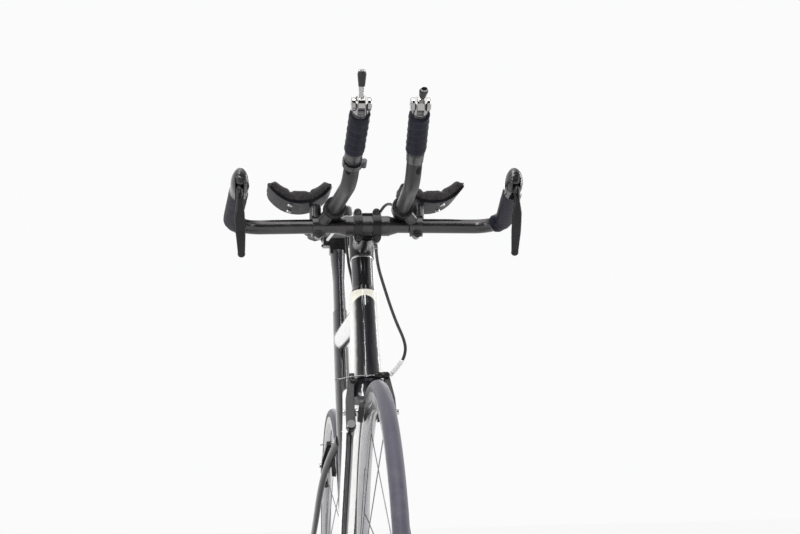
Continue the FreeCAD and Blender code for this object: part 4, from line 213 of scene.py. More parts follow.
def nodeGroup(name, inputs):
    tree = bpy.data.node_groups.new(name, "GeometryNodeTree")
    for label, kind, *start in [("Geometry", "Geometry")] + inputs:
        socket = tree.interface.new_socket(label, in_out="INPUT", socket_type="NodeSocket" + kind)
        if start:
            socket.default_value = start[0]
    tree.interface.new_socket("Geometry", in_out="OUTPUT", socket_type="NodeSocketGeometry")
    outputs = tree.nodes.new("NodeGroupInput").outputs
    return tree, {socket.name: nodeValue(tree, socket) for socket in outputs if socket.name}


def endGroup(shape):
    feed(shape.tree.nodes.new("NodeGroupOutput").inputs[0], shape)
    return shape.tree


# smooth shading, real meshes and the finish, at the end of a tree
def finished(shape, finish):
    smooth = addNode(shape.tree, "GeometryNodeSetShadeSmooth", {"Geometry": shape})
    real = addNode(shape.tree, "GeometryNodeRealizeInstances", [smooth])
    return endGroup(addNode(shape.tree, "GeometryNodeSetMaterial", {"Geometry": real, "Material": finish}))


def axleDistance(place, centre):
    x, y, z = parts(place)
    across, height = x - centre.x, z - centre.z
    return calc("SQRT", across * across + height * height)


# one finish with colour drift, fine grain, uneven gloss and softened edges
def finishOf(name, dark, light, gloss, metallic=0.0, grain=1400, depth=0.00002, drift=22, edge=0.0005,
             sockets=None):
    material, shader, place = newMaterial(name)
    fine = noise(place, grain, 2)
    uneven = noise(place, drift * 4, 3) * 0.5 + fine * 0.5
    look = {"Base Color": mixed(spread(noise(place, drift, 4)), dark, light),
            "Roughness": spread(uneven, *gloss), "Metallic": metallic}
    dress(shader, {**look, **(sockets or {})}, [(fine, depth)], edge)
    return material


# metal turned on a lathe: fine rings about the axle
def turnedFinish(name, centre, dark, light, gloss, metallic=1.0):
    material, shader, place = newMaterial(name)
    lines = ringNoise(axleDistance(place, centre), 5200)
    drift = noise(place, 30, 4)
    dress(shader, {"Base Color": mixed((lines + drift) * 0.5, dark, light),
                   "Roughness": spread(drift, *gloss), "Metallic": metallic}, [(lines, 0.000012)], 0.0004)
    return material


# steering axis: foot, direction up it and direction ahead of it
steerFoot = Vector((0.457083, 0.0, 0.320468))
steerUp = Vector((-0.30071, 0.0, 0.95372))
steerAhead = Vector((0.95372, 0.0, 0.30071))
seatLean = 0.24933  # how far the seat tube goes back for each metre up


def alongSteer(place, way):
    return vectorCalc("DOT_PRODUCT", place, way) - steerFoot.dot(way)


framePlan = {"black": (0.004, 0.004, 0.006), "blackLit": (0.007, 0.007, 0.011), "white": (0.84, 0.84, 0.82),
             "cream": (0.86, 0.85, 0.74), "edge": 0.0006, "headBack": (-0.0310, -0.0300),
             "headSide": (0.62, 0.92), "tubeSide": (0.48, 0.52), "topTubeLow": 0.745,
             "topTubeUnder": (-0.82, -0.76), "seatFront": 0.034, "ringFoot": 0.5085, "ringArch": 26.0,
             "ringBack": (-0.033, -0.032), "lineFoot": (0.490, 0.494), "lineHalf": (0.0012, 0.0008),
             "stripes": (0.611, 0.590), "stripeHalf": (0.0007, 0.0004), "stripeFront": (0.012, 0.013),
             "stripeWide": (0.0072, 0.0068)}


# clear coat with a little orange peel
def paintCoat(shader, place, colour):
    dress(shader, {"Base Color": colour, "Roughness": spread(noise(place, 60, 4), 0.3, 0.42),
                   "Coat Weight": 1.0, "Coat Roughness": 0.03, "Specular IOR Level": 0.25},
          [(noise(place, 420, 2), 0.000012)], 0.0006)


def blackPaint(place):
    return mixed(noise(place, 9, 3), framePlan["black"], framePlan["blackLit"])


# black and white paint: white sides and top tube, black front panel with an arched top, cream head ring
def framePaint(plan):
    material, shader, place = newMaterial("framePaint")
    x, y, z = parts(place)
    nx, ny, nz = parts(coords(place.tree, "Normal"))
    side, soft = abs(ny), plan["edge"]
    along, ahead = alongSteer(place, steerUp), alongSteer(place, steerAhead)
    seatAhead = x - crankSpot.x + (z - crankSpot.z) * seatLean
    forward = ramp(seatAhead, plan["seatFront"], plan["seatFront"] + soft)
    onHead = ramp(ahead, *plan["headBack"])
    offHead = 1.0 - onHead
    isTop = ramp(z, plan["topTubeLow"], plan["topTubeLow"] + soft)
    headWhite = onHead * ramp(side, *plan["headSide"])
    topWhite = offHead * isTop * forward * ramp(nz, *plan["topTubeUnder"])
    lowWhite = offHead * (1.0 - isTop) * forward * ramp(side, *plan["tubeSide"])
    ring = ramp(along + y * y * plan["ringArch"], plan["ringFoot"], plan["ringFoot"] + soft)
    ring = ring * ramp(ahead, *plan["ringBack"])
    thinLine = (ramp(abs(y), *plan["lineHalf"]) * ramp(along, *plan["lineFoot"]) * onHead
                * ramp(ahead, 0.0, 0.002))
    stripe = either(*[ramp(abs(z - height), *plan["stripeHalf"]) for height in plan["stripes"]])
    seatBand = stripe * ramp(seatAhead, *plan["stripeFront"]) * ramp(abs(y), *plan["stripeWide"])
    white = either(headWhite, topWhite, lowWhite, thinLine, seatBand)
    colour = mixed(white, blackPaint(place), plan["white"])
    paintCoat(shader, place, mixed(ring, colour, plan["cream"]))
    return material


forkPlan = {"crownFoot": 0.352, "outerSide": (0.72, 0.76), "edge": 0.001}


# fork: black crown and leading edges, white outer faces
def forkPaint(plan):
    material, shader, place = newMaterial("forkPaint")
    x, y, z = parts(place)
    nx, ny, nz = parts(coords(place.tree, "Normal"))
    belowCrown = ramp(alongSteer(place, steerUp), plan["crownFoot"] + plan["edge"], plan["crownFoot"])
    white = ramp(ny * calc("SIGN", y), *plan["outerSide"]) * belowCrown
    paintCoat(shader, place, mixed(white, blackPaint(place), framePlan["white"]))
    return material


spacerPlan = {"ringFoot": 0.5786, "edge": 0.0002, "black": (0.010, 0.010, 0.012),
              "bright": (0.75, 0.74, 0.72)}


# black spacers under one bright ring
def spacerFinish(plan):
    material, shader, place = newMaterial("spacerAlloy")
    bright = ramp(alongSteer(place, steerUp), plan["ringFoot"], plan["ringFoot"] + plan["edge"])
    lathe = noise(stretched(place, (1, 1, 40)), 160, 2)
    dress(shader, {"Base Color": mixed(bright, plan["black"], plan["bright"]), "Metallic": bright,
                   "Roughness": spread(lathe, 0.16, 0.28), "Coat Weight": 0.8, "Coat Roughness": 0.1},
          [(lathe, 0.00001)], 0.0004)
    return material


tyrePlan = {"tread": (0.042, 0.041, 0.063), "treadWorn": (0.078, 0.075, 0.097), "wall": (0.013, 0.013, 0.016),
            "treadFoot": (0.3229, 0.3247), "wallRings": 5200.0}


# slick rubber: dusty slate tread, darker side walls with moulded rings
def tyreRubber(name, centre, plan):
    material, shader, place = newMaterial(name)
    distance = axleDistance(place, centre)
    tread = ramp(distance, *plan["treadFoot"])
    dust = noise(place, 55, 6, 0.7)
    worn = mixed(ramp(dust, 0.3, 0.75), plan["tread"], plan["treadWorn"])
    wallRings = (1.0 - tread) * calc("SINE", distance * plan["wallRings"])
    dress(shader, {"Base Color": mixed(tread, plan["wall"], worn), "Roughness": spread(dust, 0.42, 0.6),
                   "Specular IOR Level": 0.4, "Sheen Weight": 0.12, "Sheen Roughness": 0.5},
          [(noise(place, 2600, 3), 0.00003), (noise(place, 420, 4, 0.7), 0.00009), (wallRings, 0.00008)])
    return material


rimPlan = {"track": (0.3032, 0.3035), "bright": (0.60, 0.60, 0.61), "brightLine": (0.55, 0.55, 0.57),
           "body": (0.34, 0.34, 0.35), "bodyLit": (0.5, 0.5, 0.51)}


# alloy rim: machined braking faces above a satin grey body
def rimAlloy(name, centre, plan):
    material, shader, place = newMaterial(name)
    distance = axleDistance(place, centre)
    track = ramp(distance, *plan["track"])
    lines = ringNoise(distance, 3600)
    machined = mixed(lines, plan["brightLine"], plan["bright"])
    satin = mixed(noise(place, 40, 4), plan["body"], plan["bodyLit"])
    dress(shader, {"Base Color": mixed(track, satin, machined), "Metallic": 0.9,
                   "Roughness": spread(noise(place, 50, 4), 0.2, 0.32)}, [(track * lines, 0.000002)], 0.0005)
    return material


leverPlan = {"stem": 0.024, "cap": 0.0445, "edge": 0.0004, "silver": (0.42, 0.415, 0.41),
             "rubber": (0.010, 0.010, 0.011)}


# shift lever: polished hub and stem, rubber paddle, bright end
def shiftLeverFinish(name, pivot, plan):
    material, shader, place = newMaterial(name)
    reach = vectorCalc("DISTANCE", place, pivot)
    paddle = (ramp(reach, plan["stem"], plan["stem"] + plan["edge"])
              * ramp(reach, plan["cap"], plan["cap"] - plan["edge"]))
    dress(shader, {"Base Color": mixed(paddle, plan["silver"], plan["rubber"]), "Metallic": 1.0 - paddle,
                   "Roughness": ramp(paddle, 0.0, 1.0, 0.07, 0.5)},
          [(paddle * cells(place, 900), 0.0001), (noise(place, 300, 2), 0.00001)], 0.0005)
    return material


podPlan = {"ring": (0.0052, 0.0049), "silver": (0.36, 0.355, 0.35), "black": (0.012, 0.012, 0.013)}
extensionBend = Vector((0.622, 0.0445, 0.9356))
extensionTip = Vector((0.762, 0.0395, 1.005))
extensionAhead = (extensionTip - extensionBend).normalized()


# shifter pod: polished shell with a black collar ring beside the tape
def podFinish(plan):
    material, shader, place = newMaterial("podSilver")
    reach = vectorCalc("DOT_PRODUCT", vectorCalc("ABSOLUTE", place), extensionAhead)
    black = ramp(reach - extensionTip.dot(extensionAhead), *plan["ring"])
    dress(shader, {"Base Color": mixed(black, plan["silver"], plan["black"]), "Metallic": 1.0 - black,
                   "Roughness": spread(noise(place, 120, 3), 0.05, 0.1)}, [(noise(place, 500, 2), 0.00001)],
          0.0006)
    return material


brakePlan = {"padBack": (0.0198, 0.0195), "arm": (0.006, 0.006, 0.007), "armEdge": (0.013, 0.013, 0.014),
             "pad": (0.010, 0.010, 0.010)}


# brake arm: black forging, with the rubber shoe beside the rim
def brakeArmFinish(plan):
    material, shader, place = newMaterial("brakeArmBlack")
    x, y, z = parts(place)
    pad = ramp(abs(y), *plan["padBack"])
    forged = mixed(noise(place, 30, 3), plan["arm"], plan["armEdge"])
    dress(shader, {"Base Color": mixed(pad, forged, plan["pad"]),
                   "Roughness": ramp(pad, 0.0, 1.0, 0.24, 0.75), "Specular IOR Level": 0.3,
                   "Coat Weight": 0.2, "Coat Roughness": 0.05}, [(noise(place, 900, 3), 0.00001)], 0.0030)
    return material


# the dark colour is painted shade inside the cable slot
slotPlan = {"place": (0.6640, 0.0490, 0.9465), "half": 0.0092, "across": 0.0046,
            "dark": (0.004, 0.004, 0.005), "low": (0.040, 0.040, 0.042), "high": (0.058, 0.057, 0.058)}


# extension: satin grey tube with a dark oval of painted shade where the cable goes in, on both sides alike
def extensionFinish(plan):
    material, shader, place = newMaterial("extensionSatin")
    offset = vectorCalc("SUBTRACT", vectorCalc("ABSOLUTE", place), plan["place"])
    whole = calc("POWER", abs(vectorCalc("LENGTH", offset)), 2.0)
    along = calc("POWER", abs(vectorCalc("DOT_PRODUCT", offset, extensionAhead)), 2.0)
    # a dark oval painted for the shade inside the cable slot
    slot = ramp(along / plan["half"] ** 2 + (whole - along) / plan["across"] ** 2, 1.1, 0.85)
    drift = noise(place, 16, 4)
    satin = mixed(spread(drift), plan["low"], plan["high"])
    dress(shader, {"Base Color": mixed(slot, satin, plan["dark"]), "Metallic": ramp(slot, 0.0, 1.0, 0.5, 0.0),
                   "Roughness": spread(drift, 0.34, 0.46), "Specular IOR Level": 0.06},
          [(noise(place, 1800, 2), 0.000012)], 0.0005)
    return material


hoodPlan = {"dark": (0.008, 0.008, 0.009), "light": (0.018, 0.018, 0.021)}


# moulded hood: fine pebbled rubber
def hoodRubber(plan):
    material, shader, place = newMaterial("hoodRubber")
    drift = noise(place, 24, 4)
    dress(shader, {"Base Color": mixed(drift, plan["dark"], plan["light"]),
                   "Roughness": spread(drift, 0.22, 0.34), "Specular IOR Level": 0.45, "Coat Weight": 0.5,
                   "Coat Roughness": 0.14}, [(cells(place, 620), 0.00005), (noise(place, 1500, 2), 0.00002)],
          0.0016)
    return material


gloss = {"Coat Weight": 1.0, "Coat Roughness": 0.05, "Specular IOR Level": 0.25}
satinBar = finishOf("satinBar", (0.064, 0.061, 0.062), (0.080, 0.076, 0.077), (0.24, 0.34), metallic=0.95,
                    grain=1800, depth=0.000006, drift=14, sockets={"Coat Weight": 0.3,
                                                                   "Coat Roughness": 0.12})
bracketGrey = finishOf("bracketGrey", (0.07, 0.069, 0.072), (0.11, 0.108, 0.112), (0.24, 0.34), metallic=0.9,
                       edge=0.0012)
blackAlloy = finishOf("blackAlloy", (0.007, 0.007, 0.008), (0.014, 0.014, 0.016), (0.2, 0.32), metallic=0.2,
                      edge=0.0008)
boltGrey = finishOf("boltGrey", (0.10, 0.10, 0.105), (0.17, 0.17, 0.175), (0.22, 0.34), metallic=0.9,
                    edge=0.0006)
gripLever = finishOf("leverBlack", (0.006, 0.006, 0.007), (0.012, 0.012, 0.014), (0.14, 0.22), edge=0.0026,
                     sockets={"Specular IOR Level": 0.3})
silverAlloy = finishOf("silverAlloy", (0.52, 0.52, 0.53), (0.66, 0.66, 0.66), (0.22, 0.36), metallic=1.0)
polished = finishOf("polishedSteel", (0.68, 0.67, 0.65), (0.78, 0.77, 0.75), (0.1, 0.2), metallic=1.0)
spokeSteel = finishOf("spokeSteel", (0.16, 0.16, 0.17), (0.24, 0.24, 0.25), (0.26, 0.36), metallic=0.9)
chainSteel = finishOf("chainSteel", (0.26, 0.25, 0.235), (0.46, 0.45, 0.43), (0.26, 0.42), metallic=1.0,
                      grain=900, depth=0.00003, drift=90)
postPaint = finishOf("postPaint", (0.005, 0.005, 0.008), (0.009, 0.009, 0.013), (0.24, 0.34), metallic=0.0,
                     grain=420, depth=0.00001, drift=9, sockets=gloss)
cupShell = finishOf("cupShell", (0.006, 0.006, 0.008), (0.011, 0.011, 0.014), (0.3, 0.44), metallic=0.0,
                    grain=900, depth=0.000006, drift=30, edge=0.001, sockets={"Specular IOR Level": 0.02})
plainPlastic = finishOf("plainPlastic", (0.014, 0.014, 0.015), (0.024, 0.024, 0.025), (0.4, 0.56),
                        metallic=0.0, grain=700, depth=0.00006)
ringBlack = turnedFinish("ringBlack", crankSpot, (0.012, 0.012, 0.013), (0.03, 0.03, 0.032), (0.25, 0.4), 0.6)
ringSteel = turnedFinish("ringSteel", crankSpot, (0.3, 0.3, 0.31), (0.42, 0.42, 0.43), (0.25, 0.36))
cogSteel = turnedFinish("cogSteel", rearAxle, (0.40, 0.39, 0.37), (0.54, 0.53, 0.51), (0.22, 0.34))
hubBlack = ((0.015, 0.015, 0.016), (0.03, 0.03, 0.032), (0.2, 0.32), 0.6)
hoodFinish = hoodRubber(hoodPlan)

finishes = {
    "frame": framePaint(framePlan), "fork": forkPaint(forkPlan), "seatpost": postPaint, "base_bar": satinBar,
    "headset_spacers": spacerFinish(spacerPlan), "brake_bodies": hoodFinish, "aerobar_brackets": bracketGrey,
    "armrest_cups": cupShell, "extensions": extensionFinish(slotPlan), "shifter_bodies": podFinish(podPlan),
    "cockpit_bolts": boltGrey, "chain": chainSteel, "cassette": cogSteel, "outer_chainring": ringBlack,
    "inner_chainring": ringSteel,
}
alike = {blackAlloy: ("bottom_bracket_cups", "saddle_clamp", "rear_derailleur", "stem", "stem_straps",
                      "crank_arm_right", "crank_arm_left"),
         silverAlloy: ("front_derailleur", "headset_bearings", "derailleur_cage", "front_qr_lever",
                       "rear_qr_lever"), plainPlastic: ("saddle_shell", "upper_jockey_wheel",
                                                        "lower_jockey_wheel", "pedal_left", "pedal_right"),
         polished: ("saddle_rails", "rear_axle", "front_axle", "chainring_bolts", "pedal_axles"),
         spokeSteel: ("front_spokes", "rear_spokes"), gripLever: ("brake_lever_left", "brake_lever_right"),
         brakeArmFinish(brakePlan): ("front_brake_arm_left", "front_brake_arm_right", "rear_brake_arm_left",
                                     "rear_brake_arm_right"),}
for material, names in alike.items():
    finishes.update(dict.fromkeys(names, material))
for end, axle in (("front", frontAxle), ("rear", rearAxle)):
    finishes[end + "_tyre"] = tyreRubber(end + "TyreRubber", axle, tyrePlan)
    finishes[end + "_rim"] = rimAlloy(end + "RimAlloy", axle, rimPlan)
    finishes[end + "_hub"] = turnedFinish(end + "HubBlack", axle, *hubBlack)
for side in ("left", "right"):
    pivot = jointSpot[side + "_shift"]
    finishes["shifter_lever_" + side] = shiftLeverFinish(side + "ShiftLever", pivot, leverPlan)
print("finishes made")


# joins the loose triangles for shading and keeps edges over 30 degrees sharp
def smoothTree():
    tree, port = nodeGroup("smoothFaces", [("Sharp Angle", "Float", math.radians(30))])
    weld = addNode(tree, "GeometryNodeMergeByDistance", {"Geometry": port["Geometry"], "Distance": 0.000002})
    smooth = addNode(tree, "GeometryNodeSetShadeSmooth", {"Geometry": weld})
    angle = addNode(tree, "GeometryNodeInputMeshEdgeAngle")
    sharp = addNode(tree, "FunctionNodeCompare", [angle, port["Sharp Angle"]])
    return endGroup(addNode(tree, "GeometryNodeSetShadeSmooth", {
        "Geometry": smooth, "Selection": sharp, "Shade Smooth": False}, domain="EDGE"))


smoothFaces = smoothTree()
for nodeName, material in finishes.items():
    piece = nodes[nodeName]
    piece.data.materials.clear()
    piece.data.materials.append(material)
    modifier = piece.modifiers.new("smoothFaces", "NODES")
    modifier.node_group = smoothFaces
print("finishes on", len(finishes), "nodes")

# paths, the same as in the part's source, in metres


# a line with its corners rounded
def filleted(points, radius, step=0.002):
    points = [Vector(point) for point in points]
    made = [points[0]]
    for before, corner, after in zip(points, points[1:], points[2:]):
        into, out = (corner - before).normalized(), (after - corner).normalized()
        turn = into.angle(out)
        centre = corner + (out - into).normalized() * (radius / math.cos(turn / 2))
        spoke = corner - into * radius * math.tan(turn / 2) - centre
        axis = into.cross(out).normalized()
        count = max(3, int(radius * turn / step))
        made += [centre + Matrix.Rotation(turn * number / count, 3, axis) @ spoke
                 for number in range(count + 1)]
    return made + [points[-1]]


def pointAlong(points, distance):
    for first, second in zip(points, points[1:]):
        step = (second - first).length
        if step >= distance - 1e-9:
            return first.lerp(second, distance / max(1e-9, step))
        distance -= step
    return points[-1]


# a line from a distance after its start to a distance before its end
def cutPath(points, fromStart, fromEnd):
    lengths = [0.0]
    for first, second in zip(points, points[1:]):
        lengths.append(lengths[-1] + (second - first).length)
    end = lengths[-1] - fromEnd
    middle = [point for point, length in zip(points, lengths) if fromStart + 1e-5 < length < end - 1e-5]
    return [pointAlong(points, fromStart)] + middle + [pointAlong(points, end)]


# the first stretch of a line, resampled at even steps
def lineStart(points, length, count):
    return [pointAlong(points, length * number / count) for number in range(count + 1)]


def straight(start, end, shares):
    return [start.lerp(end, share) for share in shares]


def shifted(base, *offsets):
    return [base + Vector(offset) for offset in offsets]


def mirroredPoints(points):
    return [Vector((p.x, -p.y, p.z)) for p in points]


def lineObject(name, points, kind="POLY"):
    data = bpy.data.curves.new(name, "CURVE")
    data.dimensions = "3D"
    spline = data.splines.new(kind)
    spline.points.add(len(points) - 1)
    for target, point in zip(spline.points, points):
        target.co = (*point, 1)
    made = bpy.data.objects.new(name, data)
    scene.collection.objects.link(made)
    return made


def evaluated(source):
    bpy.context.view_layer.update()
    graph = bpy.context.evaluated_depsgraph_get()
    return bpy.data.meshes.new_from_object(source.evaluated_get(graph), depsgraph=graph)


# the plain mesh that a node tree grows on a source, which is then removed
def grown(source, tree, values):
    modifier = source.modifiers.new(tree.name, "NODES")
    modifier.node_group = tree
    for item in tree.interface.items_tree:
        if item.item_type == "SOCKET" and item.in_out == "INPUT" and item.name in values:
            modifier[item.identifier] = values[item.name]
    mesh = evaluated(source)
    bpy.data.objects.remove(source)
    return mesh


def cleaned(mesh):
    work = bmesh.new()
    work.from_mesh(mesh)
    bmesh.ops.remove_doubles(work, verts=work.verts, dist=0.00001)
    bmesh.ops.recalc_face_normals(work, faces=work.faces)
    work.to_mesh(mesh)
    work.free()
    return mesh


def meshOf(work, name, finish=None):
    mesh = bpy.data.meshes.new(name)
    work.to_mesh(mesh)
    work.free()
    if finish:
        mesh.materials.append(finish)
    return mesh


def smoothed(mesh):
    for face in mesh.polygons:
        face.use_smooth = True
    return mesh


def addPiece(name, mesh, body, slot, *replaced):
    mesh.name = name
    made = bpy.data.objects.new(name, mesh)
    scene.collection.objects.link(made)
    if body:
        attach(made, body)
    if replaced:
        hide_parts(*replaced)
    return made


def joinMeshes(meshes):
    work = bmesh.new()
    for mesh in meshes:
        work.from_mesh(mesh)
    made = meshes[0].copy()
    work.to_mesh(made)
    work.free()
    return made


# a mesh on the bike's left with its mirror image
def bothSides(mesh):
    work = bmesh.new()
    work.from_mesh(mesh)
    bmesh.ops.scale(work, vec=(1, -1, 1), verts=work.verts)
    bmesh.ops.reverse_faces(work, faces=work.faces)
    other = mesh.copy()
    work.to_mesh(other)
    work.free()
    return joinMeshes([mesh, other])


# faces between closed rings of points, and one over each end
def skinRings(work, rings, smooth=False):
    around = len(rings[0])
    for low, high in zip(rings, rings[1:]):
        for step in range(around):
            following = (step + 1) % around
            work.faces.new((low[step], low[following], high[following], high[step])).smooth = smooth
    work.faces.new(rings[0][::-1])
    work.faces.new(rings[-1])


# a tube through points, one radius at each, closed at both ends
def sleeveMesh(name, points, radii, material, around=28):
    work = bmesh.new()
    angles = [2 * math.pi * step / around for step in range(around)]
    rings, normal = [], None
    for number, (point, radius) in enumerate(zip(points, radii)):
        ahead = (points[min(number + 1, len(points) - 1)] - points[max(number - 1, 0)]).normalized()
        normal = normal or ahead.orthogonal()
        normal = (normal - ahead * normal.dot(ahead)).normalized()
        across = ahead.cross(normal)
        rings.append([work.verts.new(point + (normal * math.cos(angle) + across * math.sin(angle)) * radius)
                      for angle in angles])
    skinRings(work, rings, smooth=True)
    bmesh.ops.recalc_face_normals(work, faces=work.faces)
    return meshOf(work, name, material)


# wound tape: a grid laid round a path, stepped at each turn of the tape
def tapeTree():
    tree, port = nodeGroup("woundTape", [
        ("Inner Radius", "Float"), ("Tape Thickness", "Float"), ("Wrap Pitch", "Float"), ("Lip", "Float"),
        ("Row Spacing", "Float"), ("Around", "Int"), ("Hand", "Float"), ("Unevenness", "Float"),
        ("Finish", "Material")])
    length = addNode(tree, "GeometryNodeCurveLength", [port["Geometry"]])
    rows = calc("ROUND", length / port["Row Spacing"])
    grid = addNode(tree, "GeometryNodeMeshGrid", {
        "Size X": 1, "Size Y": 1, "Vertices X": rows * 2.0, "Vertices Y": port["Around"] + 1.0}, "Mesh")
    x, y, z = parts(addNode(tree, "GeometryNodeInputPosition"))
    travel, turn = (x + 0.5) * 2.0, y + 0.5  # out along the outside and back along the inside, once round
    share = calc("PINGPONG", travel, 1.0)
    outside = calc("LESS_THAN", travel, 1.0)
    spot = addNode(tree, "GeometryNodeSampleCurve", {"Curves": port["Geometry"], "Factor": share}, "Position",
                   mode="FACTOR")
    normal, angle = spot.output("Normal"), turn * (2 * math.pi)
    across = vectorCalc("CROSS_PRODUCT", spot.output("Tangent"), normal)
    radial = vectorCalc("ADD", vectorCalc("SCALE", normal, calc("COSINE", angle)),
                        vectorCalc("SCALE", across, calc("SINE", angle)))
    distance = share * length
    phase = distance / port["Wrap Pitch"] - turn * port["Hand"]
    within = calc("FRACT", phase + 40.0)  # kept above zero
    lip = ramp(within, 0.0, 0.09) * (1.0 - within * 0.9)
    drift = addNode(tree, "ShaderNodeTexNoise", {
        "Vector": vectorCalc("ADD", spot, vectorCalc("SCALE", radial, 0.012)), "Scale": 70})
    thick = port["Tape Thickness"] * 0.62 + lip * port["Lip"] + (drift - 0.5) * port["Unevenness"]
    fade = ramp(calc("MINIMUM", distance, length - distance), 0.0, 0.0016)
    radius = port["Inner Radius"] + thick * fade * outside
    mark = addNode(tree, "GeometryNodeStoreNamedAttribute",
                   {"Geometry": grid, "Name": "wrap", "Value": within}, data_type="FLOAT")
    place = vectorCalc("ADD", spot, vectorCalc("SCALE", radial, radius))
    return finished(addNode(tree, "GeometryNodeSetPosition", {"Geometry": mark, "Position": place}),
                    port["Finish"])


# the crease colour is painted shade where each turn overlaps; the worn colour is wear and a painted highlight
# along the raised edge
tapePlan = {"black": (0.007, 0.007, 0.012), "lit": (0.016, 0.016, 0.028), "creaseShade": (0.002, 0.002, 0.003),
            "worn": (0.034, 0.034, 0.050), "wearAndHighlight": 0.5, "hornPitch": 0.0135, "hornLip": 0.0011,
            "gripPitch": 0.0135, "gripLip": 0.0013, "thickness": 0.0034, "rowSpacing": 0.0007, "around": 44,
            "uneven": 0.0007, "gripStart": 0.078, "gripEnd": 0.0005, "hornEnd": 0.0003}


# tape: blue-black cork weave, with painted shade at each overlap, and wear with a painted highlight rubbed
# along its raised edge
def tapeCloth(plan):
    material, shader, place = newMaterial("barTape")
    within = addNode(place.tree, "ShaderNodeAttribute", (), "Fac", attribute_name="wrap")
    drift = noise(place, 70, 5, 0.65)
    # wear and a painted highlight along each turn's raised edge
    rubbedAndHighlit = ramp(within, 0.06, 0.11) * ramp(within, 0.26, 0.12) * ramp(drift, 0.42, 0.62)
    colour = mixed(rubbedAndHighlit * plan["wearAndHighlight"], mixed(spread(drift), plan["black"], plan["lit"]), plan["worn"])
    # painted shade in the crease where each turn overlaps the last
    creaseShade = either(ramp(within, 0.05, 0.0), ramp(within, 0.965, 1.0))
    dress(shader, {"Base Color": mixed(creaseShade, colour, plan["creaseShade"]),
                   "Roughness": spread(drift, 0.38, 0.54), "Specular IOR Level": 0.12},
          [(cells(place, 1100), 0.00012), (noise(place, 2600, 2), 0.00004)])
    return material


barPlan = {"middle": (0.387, 0, 0.913), "half": 0.034, "corner": (0.401, 0.210, 0.909),
           "tip": (0.561, 0.198, 0.936), "bend": 0.046, "radius": 0.0111}
barMiddle, barCorner, hornTip = (Vector(barPlan[key]) for key in ("middle", "corner", "tip"))
wing = barMiddle + Vector((0, barPlan["half"], 0))
hornLine = filleted([wing, barCorner, hornTip], barPlan["bend"])
hornTurn = (barCorner - wing).angle(hornTip - barCorner)
bendStart = (barCorner - wing).length - barPlan["bend"] * math.tan(hornTurn / 2)
hornTapeLine = cutPath(hornLine, bendStart + barPlan["bend"] * hornTurn / 2, tapePlan["hornEnd"])
gripLine = [extensionTip - extensionAhead * tapePlan[key] for key in ("gripStart", "gripEnd")]
woundTape = tapeTree()
tapeFinish = tapeCloth(tapePlan)


def windTape(name, line, kind, node):
    meshes = []
    for hand, points in ((1.0, line), (-1.0, mirroredPoints(line))):
        meshes.append(cleaned(grown(lineObject(name + "Path", points), woundTape, {
            "Inner Radius": barPlan["radius"], "Tape Thickness": tapePlan["thickness"],
            "Wrap Pitch": tapePlan[kind + "Pitch"], "Lip": tapePlan[kind + "Lip"],
            "Row Spacing": tapePlan["rowSpacing"], "Around": tapePlan["around"], "Hand": hand,
            "Unevenness": tapePlan["uneven"], "Finish": tapeFinish})))
    return addPiece(name, joinMeshes(meshes), "steering", "tape", node)


windTape("hornTape", hornTapeLine, "horn", "horn_tape")
windTape("gripTape", gripLine, "grip", "extension_tape")

# vinyl bands that hold the tape's ends, radii in millimetres
bandPlan = {"shares": (0.0, 0.01, 0.03, 0.33, 0.36, 0.66, 0.69, 0.97, 0.99, 1.0),
            "grip": (11.2, 12.1, 12.3, 12.3, 12.6, 12.6, 12.9, 12.9, 12.7, 11.3), "gripFrom": 0.0995,
            "gripTo": 0.0765, "horn": (11.2, 12.9, 13.2, 13.3, 13.1, 13.1, 13.3, 13.2, 12.9, 11.2),
            "hornLength": 0.008}
bandFinish = finishOf("bandVinyl", (0.012, 0.012, 0.015), (0.022, 0.022, 0.027), (0.22, 0.34), metallic=0.0,
                      grain=1300, depth=0.00002, drift=60)
bandGrey = finishOf("bandGrey", (0.10, 0.10, 0.11), (0.19, 0.19, 0.20), (0.28, 0.42), metallic=0.0,
                    grain=1300, depth=0.00002, drift=60)


def addBands(name, start, end, radii, finish, node):
    line = straight(start, end, bandPlan["shares"])
    meshes = [sleeveMesh(name, points, [radius / 1000 for radius in radii], finish, 40)
              for points in (line, mirroredPoints(line))]
    return addPiece(name, joinMeshes(meshes), "steering", "tape", node)


gripEnds = [extensionTip - extensionAhead * bandPlan[key] for key in ("gripFrom", "gripTo")]
addBands("gripBand", *gripEnds, bandPlan["grip"], bandFinish, "extension_tape")
hornStart = hornTapeLine[0]
hornStop = hornStart + (hornTapeLine[1] - hornStart).normalized() * bandPlan["hornLength"]
addBands("hornBand", hornStart, hornStop, bandPlan["horn"], bandGrey, "horn_tape")
print("tape wound")

# cables, their ferrules and the brakes' bare wires, shapes of turned pieces in millimetres
cablePlan = {"radius": 0.0024, "wireRadius": 0.0008, "holderUp": 0.083, "holderOut": 0.0342,
             "holderAcross": 0.0327, "wireAcross": (0.0112, 0.0095, -0.0215), "frontTail": -0.0535,
             "rearTail": -0.042, "tailDrop": 0.007, "crimpLength": 0.007,
             "crimp": (0.9, 1.5, 1.5, 1.1, 1.5, 1.5, 0.9), "barrel": (0.0085, 0.0315),
             "barrelShape": (4.2, 5.4, 5.6, 5.6, 5.4, 4.7, 4.7, 5.2, 5.5, 5.2, 5.5, 5.2, 3.2),
             "ferruleLength": 0.009, "ferrule": (2.79, 3.1, 3.1, 3.1, 3.1, 3.1, 3.1, 3.1, 3.5, 3.5, 2.5),
             "boots": {"frontBrakeHousing": {"length": 0.036, "radius": 0.0037, "end": 0.0026, "steps": 24}}}
